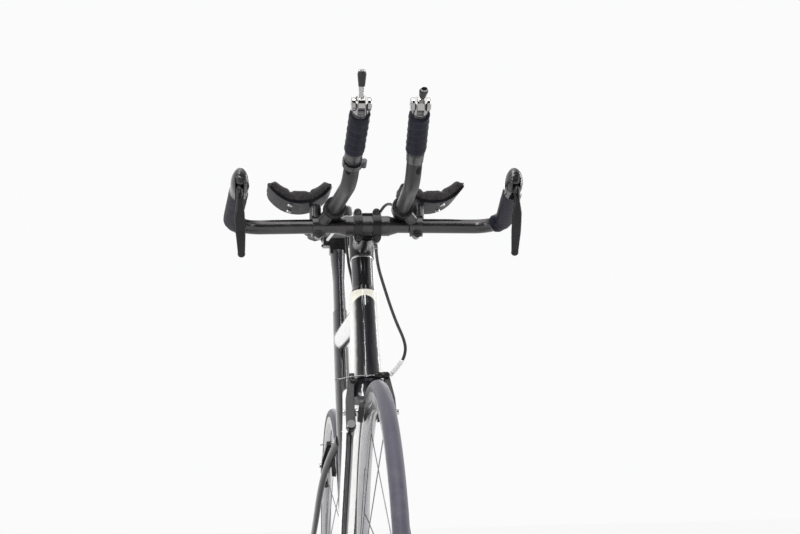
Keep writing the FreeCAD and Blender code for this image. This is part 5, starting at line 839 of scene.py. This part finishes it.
cableFinish = finishOf("cableHousing", (0.011, 0.011, 0.012), (0.02, 0.02, 0.021), (0.32, 0.46), metallic=0.0,
                       grain=900, depth=0.00003, drift=50, edge=0.0)
wireFinish = finishOf("wireSteel", (0.5, 0.5, 0.5), (0.66, 0.66, 0.65), (0.24, 0.34), metallic=1.0,
                      grain=2600, depth=0.00006, drift=200, edge=0.0)
ferruleFinish = finishOf("ferruleSteel", (0.3, 0.3, 0.31), (0.46, 0.46, 0.47), (0.24, 0.36), metallic=0.9,
                         grain=1600, depth=0.00002, drift=90)
adjusterFinish = finishOf("adjusterBlack", (0.010, 0.010, 0.011), (0.03, 0.03, 0.032), (0.16, 0.28),
                          metallic=0.5, edge=0.0008)
bootFinish = finishOf("bootSilicone", (0.60, 0.60, 0.60), (0.74, 0.74, 0.73), (0.3, 0.45), metallic=0.0,
                      grain=900, depth=0.00003, drift=60)
# each brake's root between its pivots, the way its pivots point and the way up its arms
brakes = {"front": (Vector((0.380707, 0, 0.592832)), Vector((0.90818, 0, 0.41857)),
                    Vector((-0.41857, 0, 0.90818))),
          "rear": (Vector((-0.278922, 0, 0.513860)), Vector((-0.63109, 0, 0.77571)),
                   Vector((0.77571, 0, 0.63109)))}


def wirePoint(end, across):
    root, out, up = brakes[end]
    return root + up * cablePlan["holderUp"] + out * cablePlan["holderOut"] + Vector((0, across, 0))


# a smooth tube through control points, and the points of its middle line
def nurbsMesh(name, points, radius, material):
    source = lineObject(name, points, "NURBS")
    data, spline = source.data, source.data.splines[0]
    spline.order_u = 3
    spline.use_endpoint_u = True
    spline.resolution_u = 16
    middle = [vertex.co.copy() for vertex in evaluated(source).vertices]
    data.bevel_depth = radius
    data.bevel_resolution = 5
    data.use_fill_caps = True
    mesh = cleaned(evaluated(source))
    bpy.data.objects.remove(source)
    mesh.materials.clear()
    mesh.materials.append(material)
    for face in mesh.polygons:
        face.use_smooth = len(face.vertices) == 4
    return mesh, middle


def addFerrule(name, line, body):
    radii = [radius / 1000 for radius in cablePlan["ferrule"]]
    mesh = sleeveMesh(name, lineStart(line, cablePlan["ferruleLength"], 10), radii, ferruleFinish, 24)
    return addPiece(name, mesh, body, "steel")


# ribbed sleeve over a housing's end
def bootMesh(name, line, spec):
    steps = spec["steps"]
    radii = [spec["radius"] * (0.82 + 0.18 * abs(math.sin(number * math.pi / 4)))
             for number in range(steps + 1)]
    radii[0] = radii[-1] = spec["end"]
    return sleeveMesh(name, lineStart(line, spec["length"], steps), radii, bootFinish)


def addCable(name, points, bodies, stretch, *replaced):
    mesh, middle = nurbsMesh(name, points, cablePlan["radius"], cableFinish)
    length = sum((b - a).length for a, b in zip(middle, middle[1:]))
    made = addPiece(name, mesh, None if len(bodies) == 2 else bodies[0], "housing", *replaced)
    if len(bodies) == 2:
        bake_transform(made)
    onCord = [addFerrule(name + "Start", middle, bodies[0]),
              addFerrule(name + "End", middle[::-1], bodies[-1])]
    if name in cablePlan["boots"]:
        mesh = bootMesh(name + "Boot", middle[::-1], cablePlan["boots"][name])
        boot = addPiece(name + "Boot", mesh, None, "plastic")
        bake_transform(boot)
        onCord.append(boot)
    print(name, round(length, 3), "m")
    return made


holder = wirePoint("front", cablePlan["holderAcross"])
cableStart = barMiddle + Vector((-0.006, 0.014, -0.0284))
frontRoute = shifted(cableStart, (0, 0, 0), (0.011, -0.001, -0.027), (0.019, 0.011, -0.074),
                     (0.024, 0.025, -0.120))
frontRoute += shifted(holder, (0.036, 0.021, 0.046), (0.027, 0.020, 0.026), (0.012, 0.0105, 0.011), (0, 0, 0))
addCable("frontBrakeHousing", frontRoute, ("steering", "front_left_arm"),
         (holder + Vector((0.030, 0.018, 0.03)), holder), "front_brake_cable")

extensionRear = Vector((0.360, 0.0545, 0.9356))
extensionLevel = (extensionBend - extensionRear).normalized()
headTop = steerFoot + steerUp * 0.5195 - steerAhead * 0.070
entryRise = 0.023 * math.sqrt(1 - (8 / 18.5) ** 2)  # the top tube's oval, 8 mm beside its middle
cableEntry = Vector((headTop.x, 0.008, 0.786 + entryRise + 0.0008))
cableTail = extensionRear - extensionLevel * 0.0005
shiftRoute = shifted(cableTail, (0, 0, 0), (-0.034, -0.004, 0.021), (-0.070, -0.016, 0.030),
                     (-0.102, -0.030, 0.005))
shiftRoute += shifted(cableEntry, (0.008, 0.012, 0.070), (0.003, 0.002, 0.030), (0, 0, 0))
for side, route in (("left", shiftRoute), ("right", mirroredPoints(shiftRoute))):
    addCable(side + "ShiftHousing", route, ("steering", "frame"), (route[3], route[-1]), "shift_cables")

leaveHeight = 0.705
seatLeave = Vector((crankSpot.x - (leaveHeight - crankSpot.z) * seatLean - 0.0326, 0, leaveHeight))
holder = wirePoint("rear", cablePlan["holderAcross"])
rearRoute = shifted(seatLeave, (0, 0, 0), (-0.026, 0.006, -0.008), (-0.040, 0.028, -0.044))
rearRoute += shifted(holder, (-0.032, 0.014, 0.028), (-0.014, 0.013, 0.006), (0, 0, 0))
addCable("rearBrakeHousing", rearRoute, ("frame", "rear_left_arm"),
         (holder + Vector((-0.030, 0.014, 0.026)), holder), "rear_cables")
loopRoute = shifted(rearAxle, (0.075, -0.073, -0.012), (0.016, -0.093, -0.038), (-0.070, -0.093, -0.040),
                    (-0.095, -0.088, -0.054), (-0.077, -0.078, -0.075)) + [Vector((-0.5044, -0.0625, 0.270))]
addCable("rearShiftHousing", loopRoute, ("frame",), None, "rear_cables")

for end, node in (("front", "front_brake_cable"), ("rear", "rear_cables")):
    wireName, body = end + "BrakeWire", end + "_right_arm"
    wire = [wirePoint(end, across) for across in cablePlan["wireAcross"] + (cablePlan[end + "Tail"],)]
    wire[-1] = wire[-1] - brakes[end][2] * cablePlan["tailDrop"]
    mesh, middle = nurbsMesh(wireName, wire, cablePlan["wireRadius"], wireFinish)
    addPiece(wireName, mesh, body, "steel", node)
    line = lineStart(middle[::-1], cablePlan["crimpLength"], len(cablePlan["crimp"]) - 1)
    crimp = sleeveMesh(wireName + "Crimp", line, [radius / 1000 for radius in cablePlan["crimp"]],
                       ferruleFinish, 20)
    addPiece(wireName + "Crimp", crimp, body, "steel")
    line = straight(*[wirePoint(end, across) for across in cablePlan["barrel"]],
                    [step / 12 for step in range(13)])
    shape = [radius / 1000 for radius in cablePlan["barrelShape"]]
    adjuster = sleeveMesh(wireName + "Adjuster", line, shape, adjusterFinish, 32)
    addPiece(wireName + "Adjuster", adjuster, end + "_left_arm", "black_alloy")
print("cables laid")

# soft pieces: a remeshed copy of the CAD solid, blown up by a cloth run
clothPlan = {"quality": 6, "mass": 0.3, "shear_stiffness": 5, "bending_stiffness": 0.5, "use_pressure": True}
clothFrames = 20


def softCopy(name, node, keep):
    work = bmesh.new()
    work.from_mesh(nodes[node].data)
    bmesh.ops.remove_doubles(work, verts=work.verts, dist=0.00001)
    bmesh.ops.delete(work, geom=[vertex for vertex in work.verts if not keep(vertex.co)], context="VERTS")
    bmesh.ops.recalc_face_normals(work, faces=work.faces)
    made = bpy.data.objects.new(name, meshOf(work, name))
    scene.collection.objects.link(made)
    return made


def applied(source):
    mesh = evaluated(source)
    source.modifiers.clear()
    source.data = mesh
    return mesh


def meshPoints(mesh):
    points = np.empty(len(mesh.vertices) * 3, dtype=np.float32)
    mesh.vertices.foreach_get("co", points)
    return points.reshape(-1, 3).astype(float)


def movePoints(mesh, points):
    mesh.vertices.foreach_set("co", points.astype(np.float32).ravel())
    mesh.update()


def meshNormals(mesh):
    return np.array([tuple(vertex.normal) for vertex in mesh.vertices])


# the cloth run: pressure from inside, with the held points pinned and the way of each point capped
def inflated(source, spec, points, fixed):
    pins = source.vertex_groups.new(name="held")
    pins.add([int(number) for number in np.nonzero(fixed)[0]], 1.0, "REPLACE")
    cloth = source.modifiers.new("cloth", "CLOTH").settings
    for label, value in clothPlan.items():
        setattr(cloth, label, value)
    cloth.tension_stiffness = cloth.compression_stiffness = spec["stiffness"]
    cloth.uniform_pressure_force = spec["pressure"]
    cloth.effector_weights.gravity = 0
    cloth.vertex_group_mass = "held"
    for number in range(1, clothFrames + 1):
        scene.frame_set(number)
    mesh = applied(source)
    scene.frame_set(1)
    moved = meshPoints(mesh) - points
    length = np.linalg.norm(moved, axis=1, keepdims=True)
    moved *= np.minimum(1.0, spec["cap"] / np.maximum(length, 1e-9))
    movePoints(mesh, points + moved)
    source.vertex_groups.clear()
    print(source.name, "blown up by", round(float(np.minimum(length, spec["cap"]).max()) * 1000, 1), "mm")


def blownUp(source, spec, held):
    remesh = source.modifiers.new("remesh", "REMESH")
    remesh.mode = "VOXEL"
    remesh.voxel_size = spec["voxel"]
    mesh = applied(source)
    points, normals = meshPoints(mesh), meshNormals(mesh)
    fixed = held(points, normals)
    points -= normals * np.where(fixed, -spec["press"], spec["shrink"])[:, None]
    movePoints(mesh, points)
    inflated(source, spec, points, fixed)
    finer = source.modifiers.new("finer", "SUBSURF")
    finer.levels = spec["levels"]
    return applied(source)


# stitches of sewing thread laid along a path
def stitchTree():
    tree, port = nodeGroup("sewnStitches", [("Spacing", "Float"), ("Stitch Length", "Float"),
                                            ("Thread Radius", "Float"), ("Finish", "Material")])
    even = addNode(tree, "GeometryNodeResampleCurve", {"Curve": port["Geometry"], "Length": port["Spacing"]},
                   mode="LENGTH")
    ball = addNode(tree, "GeometryNodeMeshUVSphere", {"Segments": 8, "Rings": 6, "Radius": 1.0})
    tangent = addNode(tree, "GeometryNodeInputTangent")
    turn = addNode(tree, "FunctionNodeAlignRotationToVector", {"Vector": tangent}, axis="X")
    thread = port["Thread Radius"]
    size = addNode(tree, "ShaderNodeCombineXYZ", [port["Stitch Length"] * 0.5, thread, thread])
    return finished(addNode(tree, "GeometryNodeInstanceOnPoints", {
        "Points": even, "Instance": ball, "Rotation": turn, "Scale": size}), port["Finish"])


sewnStitches = stitchTree()
threadFinish = finishOf("sewingThread", (0.05, 0.05, 0.055), (0.09, 0.09, 0.095), (0.5, 0.7), metallic=0.0,
                        grain=3000, depth=0.00004, drift=200, edge=0.0)


# stitches where rays meet a cover
def stitched(surface, rays, plan):
    hits = [surface.ray_cast(start, way)[0] for start, way in rays]
    return grown(lineObject("stitchPath", [hit for hit in hits if hit]), sewnStitches, {
        "Spacing": plan["spacing"], "Stitch Length": plan["stitch"], "Thread Radius": plan["thread"],
        "Finish": threadFinish})


def surfaceOf(mesh):
    return BVHTree.FromPolygons([vertex.co for vertex in mesh.vertices],
                                [face.vertices[:] for face in mesh.polygons])


# knitted cover: small loops in rows, fuzzy, with uneven shade
def knitFinish(name, plan):
    material, shader, place = newMaterial(name)
    drift = noise(place, plan["drift"], 4)
    loops = cells(stretched(place, (1.0, 1.0, 0.7)), plan["loops"])
    colour = mixed(spread(drift), plan["dark"], plan["light"])
    dress(shader, {"Base Color": mixed(ramp(loops, 0.3, 0.9), colour, plan["gap"]),
                   "Roughness": spread(drift, *plan["gloss"]), "Sheen Weight": plan["sheen"],
                   "Sheen Roughness": 0.4, "Specular IOR Level": 0.3},
          [(loops, plan["depth"]), (noise(place, 2400, 2), 0.00004)])
    return material


armPad = {"arc": ((0.056, 0.974), (0.100, 0.948), (0.150, 0.976)), "voxel": 0.004, "shrink": 0.0022,
          "pressure": 4.0, "stiffness": 12, "cap": 0.006, "levels": 1, "press": 0.0004, "heldBand": 0.003,
          "lipBand": 0.005, "over": 0.0035, "roll": 0.0022, "rollZone": 0.012, "crown": 0.008,
          "crownFrom": 0.005, "crownFade": 0.006, "channels": (-0.34, 0.34), "dip": 0.0034,
          "channelWidth": 0.0042, "endGap": 0.006, "rays": 40, "spacing": 0.0042, "stitch": 0.0031,
          "thread": 0.0004}
padKnit = knitFinish("padKnit", {"dark": (0.008, 0.007, 0.008), "light": (0.036, 0.030, 0.030),
                                 "gap": (0.003, 0.003, 0.003), "drift": 120, "loops": 460, "depth": 0.0005,
                                 "gloss": (0.7, 0.9), "sheen": 0.15})


def circleCentre(points):
    (ay, az), (by, bz), (cy, cz) = points
    turn = 2 * (ay * (bz - cz) + by * (cz - az) + cy * (az - bz))
    squares = [ay * ay + az * az, by * by + bz * bz, cy * cy + cz * cz]
    return ((squares[0] * (bz - cz) + squares[1] * (cz - az) + squares[2] * (az - bz)) / turn,
            (squares[0] * (cy - by) + squares[1] * (ay - cy) + squares[2] * (by - ay)) / turn)


# middle and half width, as angles about the cup's centre, of the left armrest cup
def cupLips(centre, outer, band):
    points = meshPoints(nodes["armrest_cups"].data)
    spoke = points[points[:, 1] > 0][:, 1:] - centre
    inside = np.abs(np.linalg.norm(spoke, axis=1) - outer) < band
    angle = np.arctan2(spoke[inside, 0], -spoke[inside, 1])
    return (angle.max() + angle.min()) / 2, (angle.max() - angle.min()) / 2


# a crowned pad with two sewn channels, spread over its cup and rolled over the cup's lips
def makeArmPads(plan):
    source = softCopy("armPadForm", "armrest_pads", lambda point: point.y > 0)
    centre = np.array(circleCentre(plan["arc"]))
    outer = np.linalg.norm(meshPoints(source.data)[:, 1:] - centre, axis=1).max()

    def held(points, normals):
        return np.linalg.norm(points[:, 1:] - centre, axis=1) > outer - plan["heldBand"]
    mesh = blownUp(source, plan, held)
    points = meshPoints(mesh)
    spoke = points[:, 1:] - centre
    radius = np.linalg.norm(spoke, axis=1)
    angle = np.arctan2(spoke[:, 0], -spoke[:, 1])
    centred, half = angle - (angle.min() + angle.max()) / 2, (angle.max() - angle.min()) / 2
    place = centred / half
    rise = plan["crown"] * (1 - np.clip(np.abs(place), 0, 1) ** 2)
    for channel in plan["channels"]:
        gap = (place - channel) * half * outer
        rise = rise - plan["dip"] * np.exp(-(gap / plan["channelWidth"]) ** 2)
    radius = radius - rise * np.clip((outer - plan["crownFrom"] - radius) / plan["crownFade"], 0, 1)
    middle, lip = cupLips(centre, outer, plan["lipBand"])
    reach = (lip + plan["over"] / outer) / half
    fan = middle + centred * reach
    beyond = np.clip((np.abs(fan - middle) - lip) * outer / plan["over"], 0, 1)
    near = np.clip((radius - outer + plan["rollZone"]) / plan["rollZone"], 0, 1)
    radius = radius + plan["roll"] * np.sin(beyond * math.pi / 2) * near
    points[:, 1:] = centre + np.stack([np.sin(fan), -np.cos(fan)], axis=1) * radius[:, None]
    movePoints(mesh, points)
    smoothed(mesh).materials.append(padKnit)
    surface = surfaceOf(mesh)
    row = np.linspace(points[:, 0].min() + plan["endGap"], points[:, 0].max() - plan["endGap"], plan["rays"])
    threads = []
    for channel in plan["channels"]:
        bend = middle + channel * half * reach
        way = Vector((0, math.sin(bend), -math.cos(bend)))
        threads.append(stitched(surface, [(Vector((x, *centre)), way) for x in row], plan))
    bpy.data.objects.remove(source)
    pads = addPiece("armPads", bothSides(mesh), "steering", "foam", "armrest_pads")
    addPiece("armPadStitches", bothSides(joinMeshes(threads)), "steering", "cover")


makeArmPads(armPad)
print("armrest pads sewn")

saddlePlan = {"voxel": 0.005, "shrink": 0.0022, "pressure": 3.0, "stiffness": 16, "cap": 0.004, "levels": 1,
              "press": 0.0, "heldFacing": -0.15, "channel": (-0.345, -0.165), "channelFade": 0.03,
              "dip": 0.0035, "channelWidth": 0.008, "seam": 0.6, "seamStart": 0.012, "seamShort": 0.03,
              "slice": 0.006, "above": 1.2, "rays": 70, "spacing": 0.0046, "stitch": 0.0034,
              "thread": 0.00045}
saddleKnit = knitFinish("saddleCover", {"dark": (0.008, 0.008, 0.009), "light": (0.016, 0.016, 0.018),
                                        "gap": (0.005, 0.005, 0.006), "drift": 26, "loops": 1500,
                                        "depth": 0.00008, "gloss": (0.32, 0.5), "sheen": 0.05})


# a saddle cover with a pressure channel along its top and a seam beside each edge
def makeSaddle(plan):
    source = softCopy("saddleForm", "saddle_pad", lambda point: True)

    def held(points, normals):
        return normals[:, 2] < plan["heldFacing"]
    mesh = blownUp(source, plan, held)
    points, normals = meshPoints(mesh), meshNormals(mesh)
    top = np.clip(normals[:, 2] * 2 - 0.6, 0, 1)
    start, end = plan["channel"]
    fade = (np.clip((points[:, 0] - start) / plan["channelFade"], 0, 1)
            * np.clip((end - points[:, 0]) / plan["channelFade"], 0, 1))
    points[:, 2] -= plan["dip"] * np.exp(-(points[:, 1] / plan["channelWidth"]) ** 2) * top * fade
    movePoints(mesh, points)
    smoothed(mesh).materials.append(saddleKnit)
    surface = surfaceOf(mesh)
    first = points[:, 0].min() + plan["seamStart"]
    row = np.linspace(first, first + np.ptp(points[:, 0]) - plan["seamShort"], plan["rays"])
    halves = [np.abs(points[np.abs(points[:, 0] - x) < plan["slice"], 1]).max() for x in row]
    threads = []
    for side in (1, -1):
        starts = [Vector((x, side * half * plan["seam"], plan["above"])) for x, half in zip(row, halves)]
        threads.append(stitched(surface, [(start, Vector((0, 0, -1))) for start in starts], plan))
    bpy.data.objects.remove(source)
    cover = addPiece("saddleCover", mesh, "frame", "cover", "saddle_pad")
    addPiece("saddleStitches", joinMeshes(threads), "frame", "cover")


makeSaddle(saddlePlan)
print("saddle covered")

# bolts with a hexagon socket, and round caps: radius and height shares from the foot to the socket's floor
boltShape = ((1.0, 0.0), (1.0, 0.72), (0.95, 0.9), (0.84, 1.0), (0.6, 1.0), (0.56, 0.97), (0.54, 0.5))
socketShare, socketStart = 0.56, 4
silverBolt = finishOf("silverBolt", (0.5, 0.5, 0.5), (0.64, 0.64, 0.63), (0.16, 0.28), metallic=1.0,
                      grain=1500, depth=0.00001, drift=120)
capChrome = finishOf("capChrome", (0.34, 0.335, 0.33), (0.42, 0.415, 0.41), (0.05, 0.1), metallic=1.0,
                     grain=1500, depth=0.000004, drift=120)


def boltMesh(centre, axis, radius, height, socket=socketShare, around=36, finish=silverBolt):
    axis = Vector(axis).normalized()
    first = axis.orthogonal().normalized()
    second = axis.cross(first)
    work = bmesh.new()
    rings = []
    for number, (share, rise) in enumerate(boltShape):
        ring = []
        for step in range(around):
            angle = 2 * math.pi * step / around
            reach = share * radius
            if number >= socketStart:
                flat = math.cos(math.pi / 6) / math.cos(angle % (math.pi / 3) - math.pi / 6)
                reach *= socket / socketShare * flat
            ring.append(work.verts.new(Vector(centre) + axis * rise * height
                                       + (first * math.cos(angle) + second * math.sin(angle)) * reach))
        rings.append(ring)
    skinRings(work, rings)
    return meshOf(work, "bolt", finish)


cupCentre = circleCentre(armPad["arc"])
cupReach = math.dist(cupCentre, armPad["arc"][1])
boltPlan = {"cupTurn": math.radians(16), "cupPlaces": (0.386, 0.330), "cupSink": 0.0006,
            "cup": (0.0040, 0.0065), "cap": (0.0094, 0.0052, 0.3), "capStart": 0.0082,
            "pivot": (0.0056, 0.0034), "pivotAcross": 0.0315, "pivotOut": 0.0326, "pad": (0.0048, 0.0042),
            "padRise": 0.023, "padOut": 0.0277, "padAcross": 0.0385, "washer": (0.0060, 0.0036),
            "washerIn": 0.0182}


def addBolts(plan):
    way = Vector((0, math.sin(plan["cupTurn"]), -math.cos(plan["cupTurn"])))
    cups = [boltMesh(Vector((x, *cupCentre)) + way * (cupReach - plan["cupSink"]), way, *plan["cup"])
            for x in plan["cupPlaces"]]
    addPiece("cupBolts", bothSides(joinMeshes(cups)), "steering", "steel")
    caps = []
    for joint in ("left_shift", "right_shift"):
        for side in (1, -1):
            start = jointSpot[joint] + Vector((0, side * plan["capStart"], 0))
            caps.append(boltMesh(start, (0, side, 0), *plan["cap"], finish=capChrome))
    addPiece("shifterCaps", joinMeshes(caps), "steering", "chrome")
    for end, (root, out, up) in brakes.items():
        for label, side in (("left", 1), ("right", -1)):
            across = Vector((0, side, 0))
            pivot = root + across * plan["pivotAcross"] + out * plan["pivotOut"]
            pad = root + across * plan["padAcross"] + up * plan["padRise"] + out * plan["padOut"]
            made = joinMeshes([boltMesh(pivot, out, *plan["pivot"]), boltMesh(pad, across, *plan["pad"]),
                               boltMesh(pad - across * plan["washerIn"], across, *plan["washer"])])
            addPiece(end + label.capitalize() + "ArmBolts", made, "%s_%s_arm" % (end, label), "steel")


# stations: share of the length, half width, half height and rise
# under: the lever's upper side, from its pivot
nosePlan = {"stations": ((0.3, 0.013, 0.01634, 0.002), (0.62, 0.013, 0.019, 0.005),
                         (0.86, 0.0104, 0.01634, 0.006), (1.0, 0.0052, 0.0095, 0.007)), "length": 0.044,
            "back": 0.012, "from": 0.5, "to": 0.995, "sink": 0.001, "inset": 0.0004, "half": 0.0058,
            "rim": 0.96, "top": 0.0095, "least": 0.0002, "steps": 28, "across": 14,
            "under": ((0.008, 0.0088), (0.014, 0.0081), (0.020, 0.0068), (0.024, 0.0048), (0.027, 0.0022),
                      (0.0295, -0.001), (0.036, -0.0025))}


# closes each hood's nose above the lever, just inside the hood's own outline
def addNoses(plan, finish):
    ahead = (hornTip - barCorner).normalized()
    pivot = jointSpot["left_brake_pull"]
    shares, widths, heights, rises = (np.array(column) for column in zip(*plan["stations"]))
    under = np.array(plan["under"])
    work = bmesh.new()
    rows = []
    for share in np.linspace(plan["from"], plan["to"], plan["steps"]):
        wide = np.interp(share, shares, widths) - plan["inset"]
        high = np.interp(share, shares, heights) - plan["inset"]
        middle = ahead * (plan["length"] * share - plan["back"])
        middle = middle + Vector((0, 0, np.interp(share, shares, rises) - plan["sink"]))
        low = max(-plan["half"], middle.y - wide * plan["rim"])
        far = min(plan["half"], middle.y + wide * plan["rim"])
        row = []
        for y in np.linspace(low, far, plan["across"]):
            drop = high * math.sqrt(max(0.0, 1 - ((y - middle.y) / wide) ** 2))
            foot = max(np.interp(middle.x, under[:, 0], under[:, 1]), middle.z - drop)
            crest = max(foot + plan["least"], min(plan["top"], middle.z + drop))
            row.append([work.verts.new(pivot + Vector((middle.x, y, z))) for z in (foot, crest)])
        rows.append(row)
    for first, second in zip(rows, rows[1:]):
        for number in range(plan["across"] - 1):
            for level in (0, 1):
                work.faces.new([first[number][level], first[number + 1][level],
                                second[number + 1][level], second[number][level]])
        for number in (0, -1):
            work.faces.new([first[number][0], first[number][1], second[number][1], second[number][0]])
    for row in (rows[0], rows[-1]):
        for left, right in zip(row, row[1:]):
            work.faces.new([left[0], right[0], right[1], left[1]])
    bmesh.ops.recalc_face_normals(work, faces=work.faces)
    addPiece("hoodNoses", bothSides(meshOf(work, "hoodNose", finish)), "steering", "plastic")


leverEndPlan = {"size": (0.0031, 0.0055, 0.0052), "tilt": math.radians(20), "ahead": 0.0072, "inward": 0.002,
                "below": 0.0955}


# a rounded bead at each brake lever's end
def addLeverEnds(plan, finish):
    for label, side in (("left", 1), ("right", -1)):
        work = bmesh.new()
        bmesh.ops.create_icosphere(work, subdivisions=3, radius=1.0)
        bmesh.ops.scale(work, vec=plan["size"], verts=work.verts)
        bmesh.ops.rotate(work, cent=(0, 0, 0), matrix=Matrix.Rotation(plan["tilt"], 3, "Y"), verts=work.verts)
        pivot = jointSpot[label + "_brake_pull"]
        place = (pivot.x + plan["ahead"], side * (abs(pivot.y) - plan["inward"]), pivot.z - plan["below"])
        bmesh.ops.translate(work, vec=place, verts=work.verts)
        addPiece(label + "LeverEnd", smoothed(meshOf(work, "leverEnd", finish)), label + "_brake_lever",
                 "black_alloy")


addNoses(nosePlan, hoodFinish)
addLeverEnds(leverEndPlan, gripLever)
addBolts(boltPlan)
print("bolts added")

# light, floor and background: a lamp's place, target, size and power
studio = {"white": (0.965, 0.965, 0.97), "room": (0.03, 0.03, 0.034), "floor": (0.9, 0.9, 0.905),
          "ambient": 0.62, "floorGlow": 0.94, "floorSize": 24, "roomFront": (-0.72, 0.15),
          "roomTop": (-0.68, -0.97),
          "lamps": {"topLamp": ((0.9, -0.6, 3.4), (0.2, 0, 0.7), (3.0, 3.0), 40),
                    "leftLamp": ((2.2, 2.6, 1.7), (0.2, 0, 0.7), (0.8, 1.8), 18),
                    "rightLamp": ((2.0, -2.8, 1.5), (0.2, 0, 0.7), (0.8, 1.8), 24),
                    "backLamp": ((-2.8, 0.6, 2.0), (0, 0, 0.7), (1.6, 1.6), 20),
                    "stripLamp": ((2.6, -0.66, 2.4), (0.42, 0, 0.7), (0.2, 2.2), 26),
                    "edgeLamp": ((-0.6, 2.6, 1.4), (0.42, 0, 0.7), (0.3, 2.0), 20),
                    "barLamp": ((2.2, 0.1, 2.9), (0.4, 0, 0.9), (3.0, 0.2), 10)}}


# camera rays, and those with the rays by which metal and glass see the background
def seenBy(tree):
    camera = addNode(tree, "ShaderNodeLightPath", (), "Is Camera Ray")
    return camera, either(camera, camera.output("Is Glossy Ray"), camera.output("Is Transmission Ray"))


def buildWorld(spec):
    world = bpy.data.worlds.new("studioWorld")
    scene.world = world
    world.use_nodes = True
    tree = world.node_tree
    camera, visible = seenBy(tree)
    ahead, side, height = parts(addNode(tree, "ShaderNodeNewGeometry", (), "Incoming"))
    behind = either(ramp(ahead, *spec["roomFront"]), ramp(height, *spec["roomTop"]), camera)
    seen = addNode(tree, "ShaderNodeBackground", {"Color": mixed(behind, spec["room"], spec["white"])})
    light = addNode(tree, "ShaderNodeBackground", {"Color": (1, 1, 1), "Strength": spec["ambient"]})
    feed(tree.nodes["World Output"].inputs["Surface"],
         addNode(tree, "ShaderNodeMixShader", [visible, light, seen]))


def buildFloor(spec):
    bpy.ops.mesh.primitive_plane_add(size=spec["floorSize"])
    floor = bpy.context.object
    floor.name = "studioFloor"
    material, shader, place = newMaterial("studioFloor")
    tree = material.node_tree
    for label, value in {"Base Color": spec["floor"], "Roughness": 0.9, "Specular IOR Level": 0.1}.items():
        feed(shader.inputs[label], value)
    camera, visible = seenBy(tree)
    glow = addNode(tree, "ShaderNodeEmission", {"Color": spec["white"]})
    plain = nodeValue(tree, shader.outputs[0])
    blend = addNode(tree, "ShaderNodeMixShader", [visible * spec["floorGlow"], plain, glow])
    feed(tree.nodes["Material Output"].inputs["Surface"], blend)
    floor.data.materials.append(material)


def hangLamps(lamps):
    for name, (place, target, size, power) in lamps.items():
        data = bpy.data.lights.new(name, "AREA")
        data.shape = "RECTANGLE"
        data.size, data.size_y = size
        data.energy = power
        lamp = bpy.data.objects.new(name, data)
        scene.collection.objects.link(lamp)
        lamp.location = place
        lamp.rotation_euler = (Vector(target) - Vector(place)).to_track_quat("-Z", "Y").to_euler()


buildWorld(studio)
buildFloor(studio)
hangLamps(studio["lamps"])
print("studio set")
